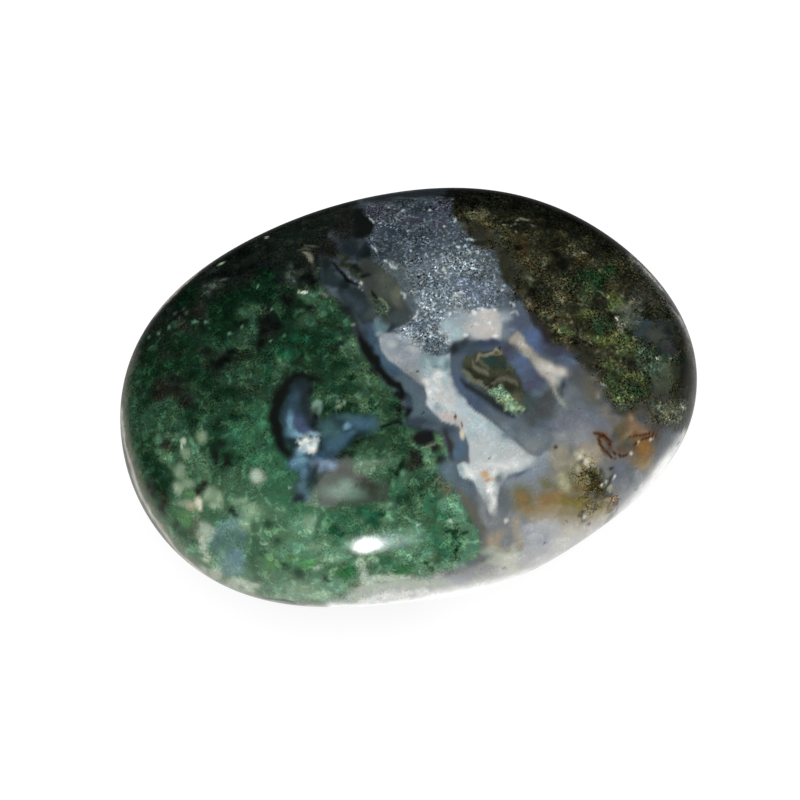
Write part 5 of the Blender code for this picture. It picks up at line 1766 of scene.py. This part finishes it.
from_middle = sockets(
    node("ShaderNodeMapping", card_tree, vector_type="TEXTURE"),
    Vector=node("ShaderNodeTexCoord", card_tree).outputs["Object"],
    Location=MIRRORED_MIDDLE,
    Scale=MIRRORED_REACH,
)
fading = node("ShaderNodeTexGradient", card_tree, gradient_type="QUADRATIC_SPHERE")
feed(fading.inputs[0], from_middle.outputs[0])
sockets(
    card_tree.nodes["Principled BSDF"],
    Base_Color=unless_mirrored(CARD_WHITE, 0.0),
    Roughness=CARD_ROUGHNESS,
    Specular_IOR_Level=0.0,
    Emission_Color=PLAIN_WHITE,
    Emission_Strength=unless_mirrored(CARD_GLOW, fading.outputs["Fac"]),
)
card.materials.append(card_material)
floor = bpy.data.objects.new("floor", card)
bpy.context.scene.collection.objects.link(floor)


def lamp(name, azimuth, elevation, distance, size, power, mirrored):
    """An area light that faces the stone from an azimuth and an elevation in degrees. It is only mirrored in
    the polish, or else it only lights what it shines on."""
    light = bpy.data.lights.new(name, "AREA")
    light.shape = "RECTANGLE"
    light.size, light.size_y = size
    light.energy = power
    light.use_nodes = True
    made = bpy.data.objects.new(name, light)
    turn, rise = math.radians(azimuth), math.radians(elevation)
    away = Vector((math.sin(turn) * math.cos(rise), -math.cos(turn) * math.cos(rise), math.sin(rise)))
    made.location = away * distance + Vector((0, 0, GIRDLE_HEIGHT / 1000))
    made.rotation_euler = away.to_track_quat("Z", "Y").to_euler()
    made.visible_glossy = mirrored
    made.visible_diffuse = not mirrored
    bpy.context.scene.collection.objects.link(made)
    return made


def fade_out(light, steepness):
    """Makes a lamp brightest in the middle, from where it fades out to an oval edge. A lamp's place runs from
    0 to 1 across it, so the edge is half a unit from the middle."""
    tree = light.data.node_tree
    flat_place = node("ShaderNodeVectorMath", tree, operation="MULTIPLY")
    feed(flat_place.inputs[0], node("ShaderNodeNewGeometry", tree).outputs["Parametric"])
    feed(flat_place.inputs[1], (1, 1, 0))
    off_middle = node("ShaderNodeVectorMath", tree, operation="DISTANCE")
    feed(off_middle.inputs[0], flat_place.outputs[0])
    feed(off_middle.inputs[1], (0.5, 0.5, 0))
    fade = node("ShaderNodeMapRange", tree, interpolation_type="SMOOTHERSTEP")
    sockets(fade, Value=off_middle.outputs["Value"], From_Min=0.5, From_Max=0.0)
    steep = node("ShaderNodeMath", tree, operation="POWER")
    feed(steep.inputs[0], fade.outputs[0])
    feed(steep.inputs[1], steepness)
    feed(tree.nodes["Emission"].inputs["Strength"], steep.outputs[0])


lamp("overhead", -20, 80, OVERHEAD_DISTANCE, size=(1.6, 1.6), power=13.5, mirrored=False)
lamp("panel", -36, 71.8, LAMP_DISTANCE, size=(0.1, 0.273), power=0.13, mirrored=True)
key = lamp("key", -13.9, 22.0, LAMP_DISTANCE, size=(0.096, 0.4), power=6.0, mirrored=True)
haze = lamp("haze", -12.1, 24.0, LAMP_DISTANCE, size=(0.16, 0.34), power=0.95, mirrored=True)
haze.data.color = HAZE_COLOUR
fade_out(key, 2.5)
fade_out(haze, 1.0)

room = bpy.data.worlds.new("room")
room.use_nodes = True
sockets(room.node_tree.nodes["Background"], Color=PLAIN_WHITE, Strength=ROOM_LIGHT)
room.cycles_visibility.glossy = False
bpy.context.scene.world = room
bpy.context.scene.view_settings.view_transform = "Standard"

camera_data = bpy.data.cameras.new("camera")
camera_data.sensor_width = SENSOR_WIDTH
camera_data.lens = FOCAL_PIXELS / PHOTO_SIDE * SENSOR_WIDTH
camera_data.shift_x = (PHOTO_SIDE / 2 - MIDDLE_PIXEL[0]) / PHOTO_SIDE
camera_data.shift_y = (MIDDLE_PIXEL[1] - PHOTO_SIDE / 2) / PHOTO_SIDE
camera = bpy.data.objects.new("camera", camera_data)
axes = np.column_stack([picture_right, picture_up, looking_from, camera_place / 1000])
camera.matrix_world = Matrix([*axes.tolist(), (0, 0, 0, 1)])
bpy.context.scene.collection.objects.link(camera)
bpy.context.scene.camera = camera
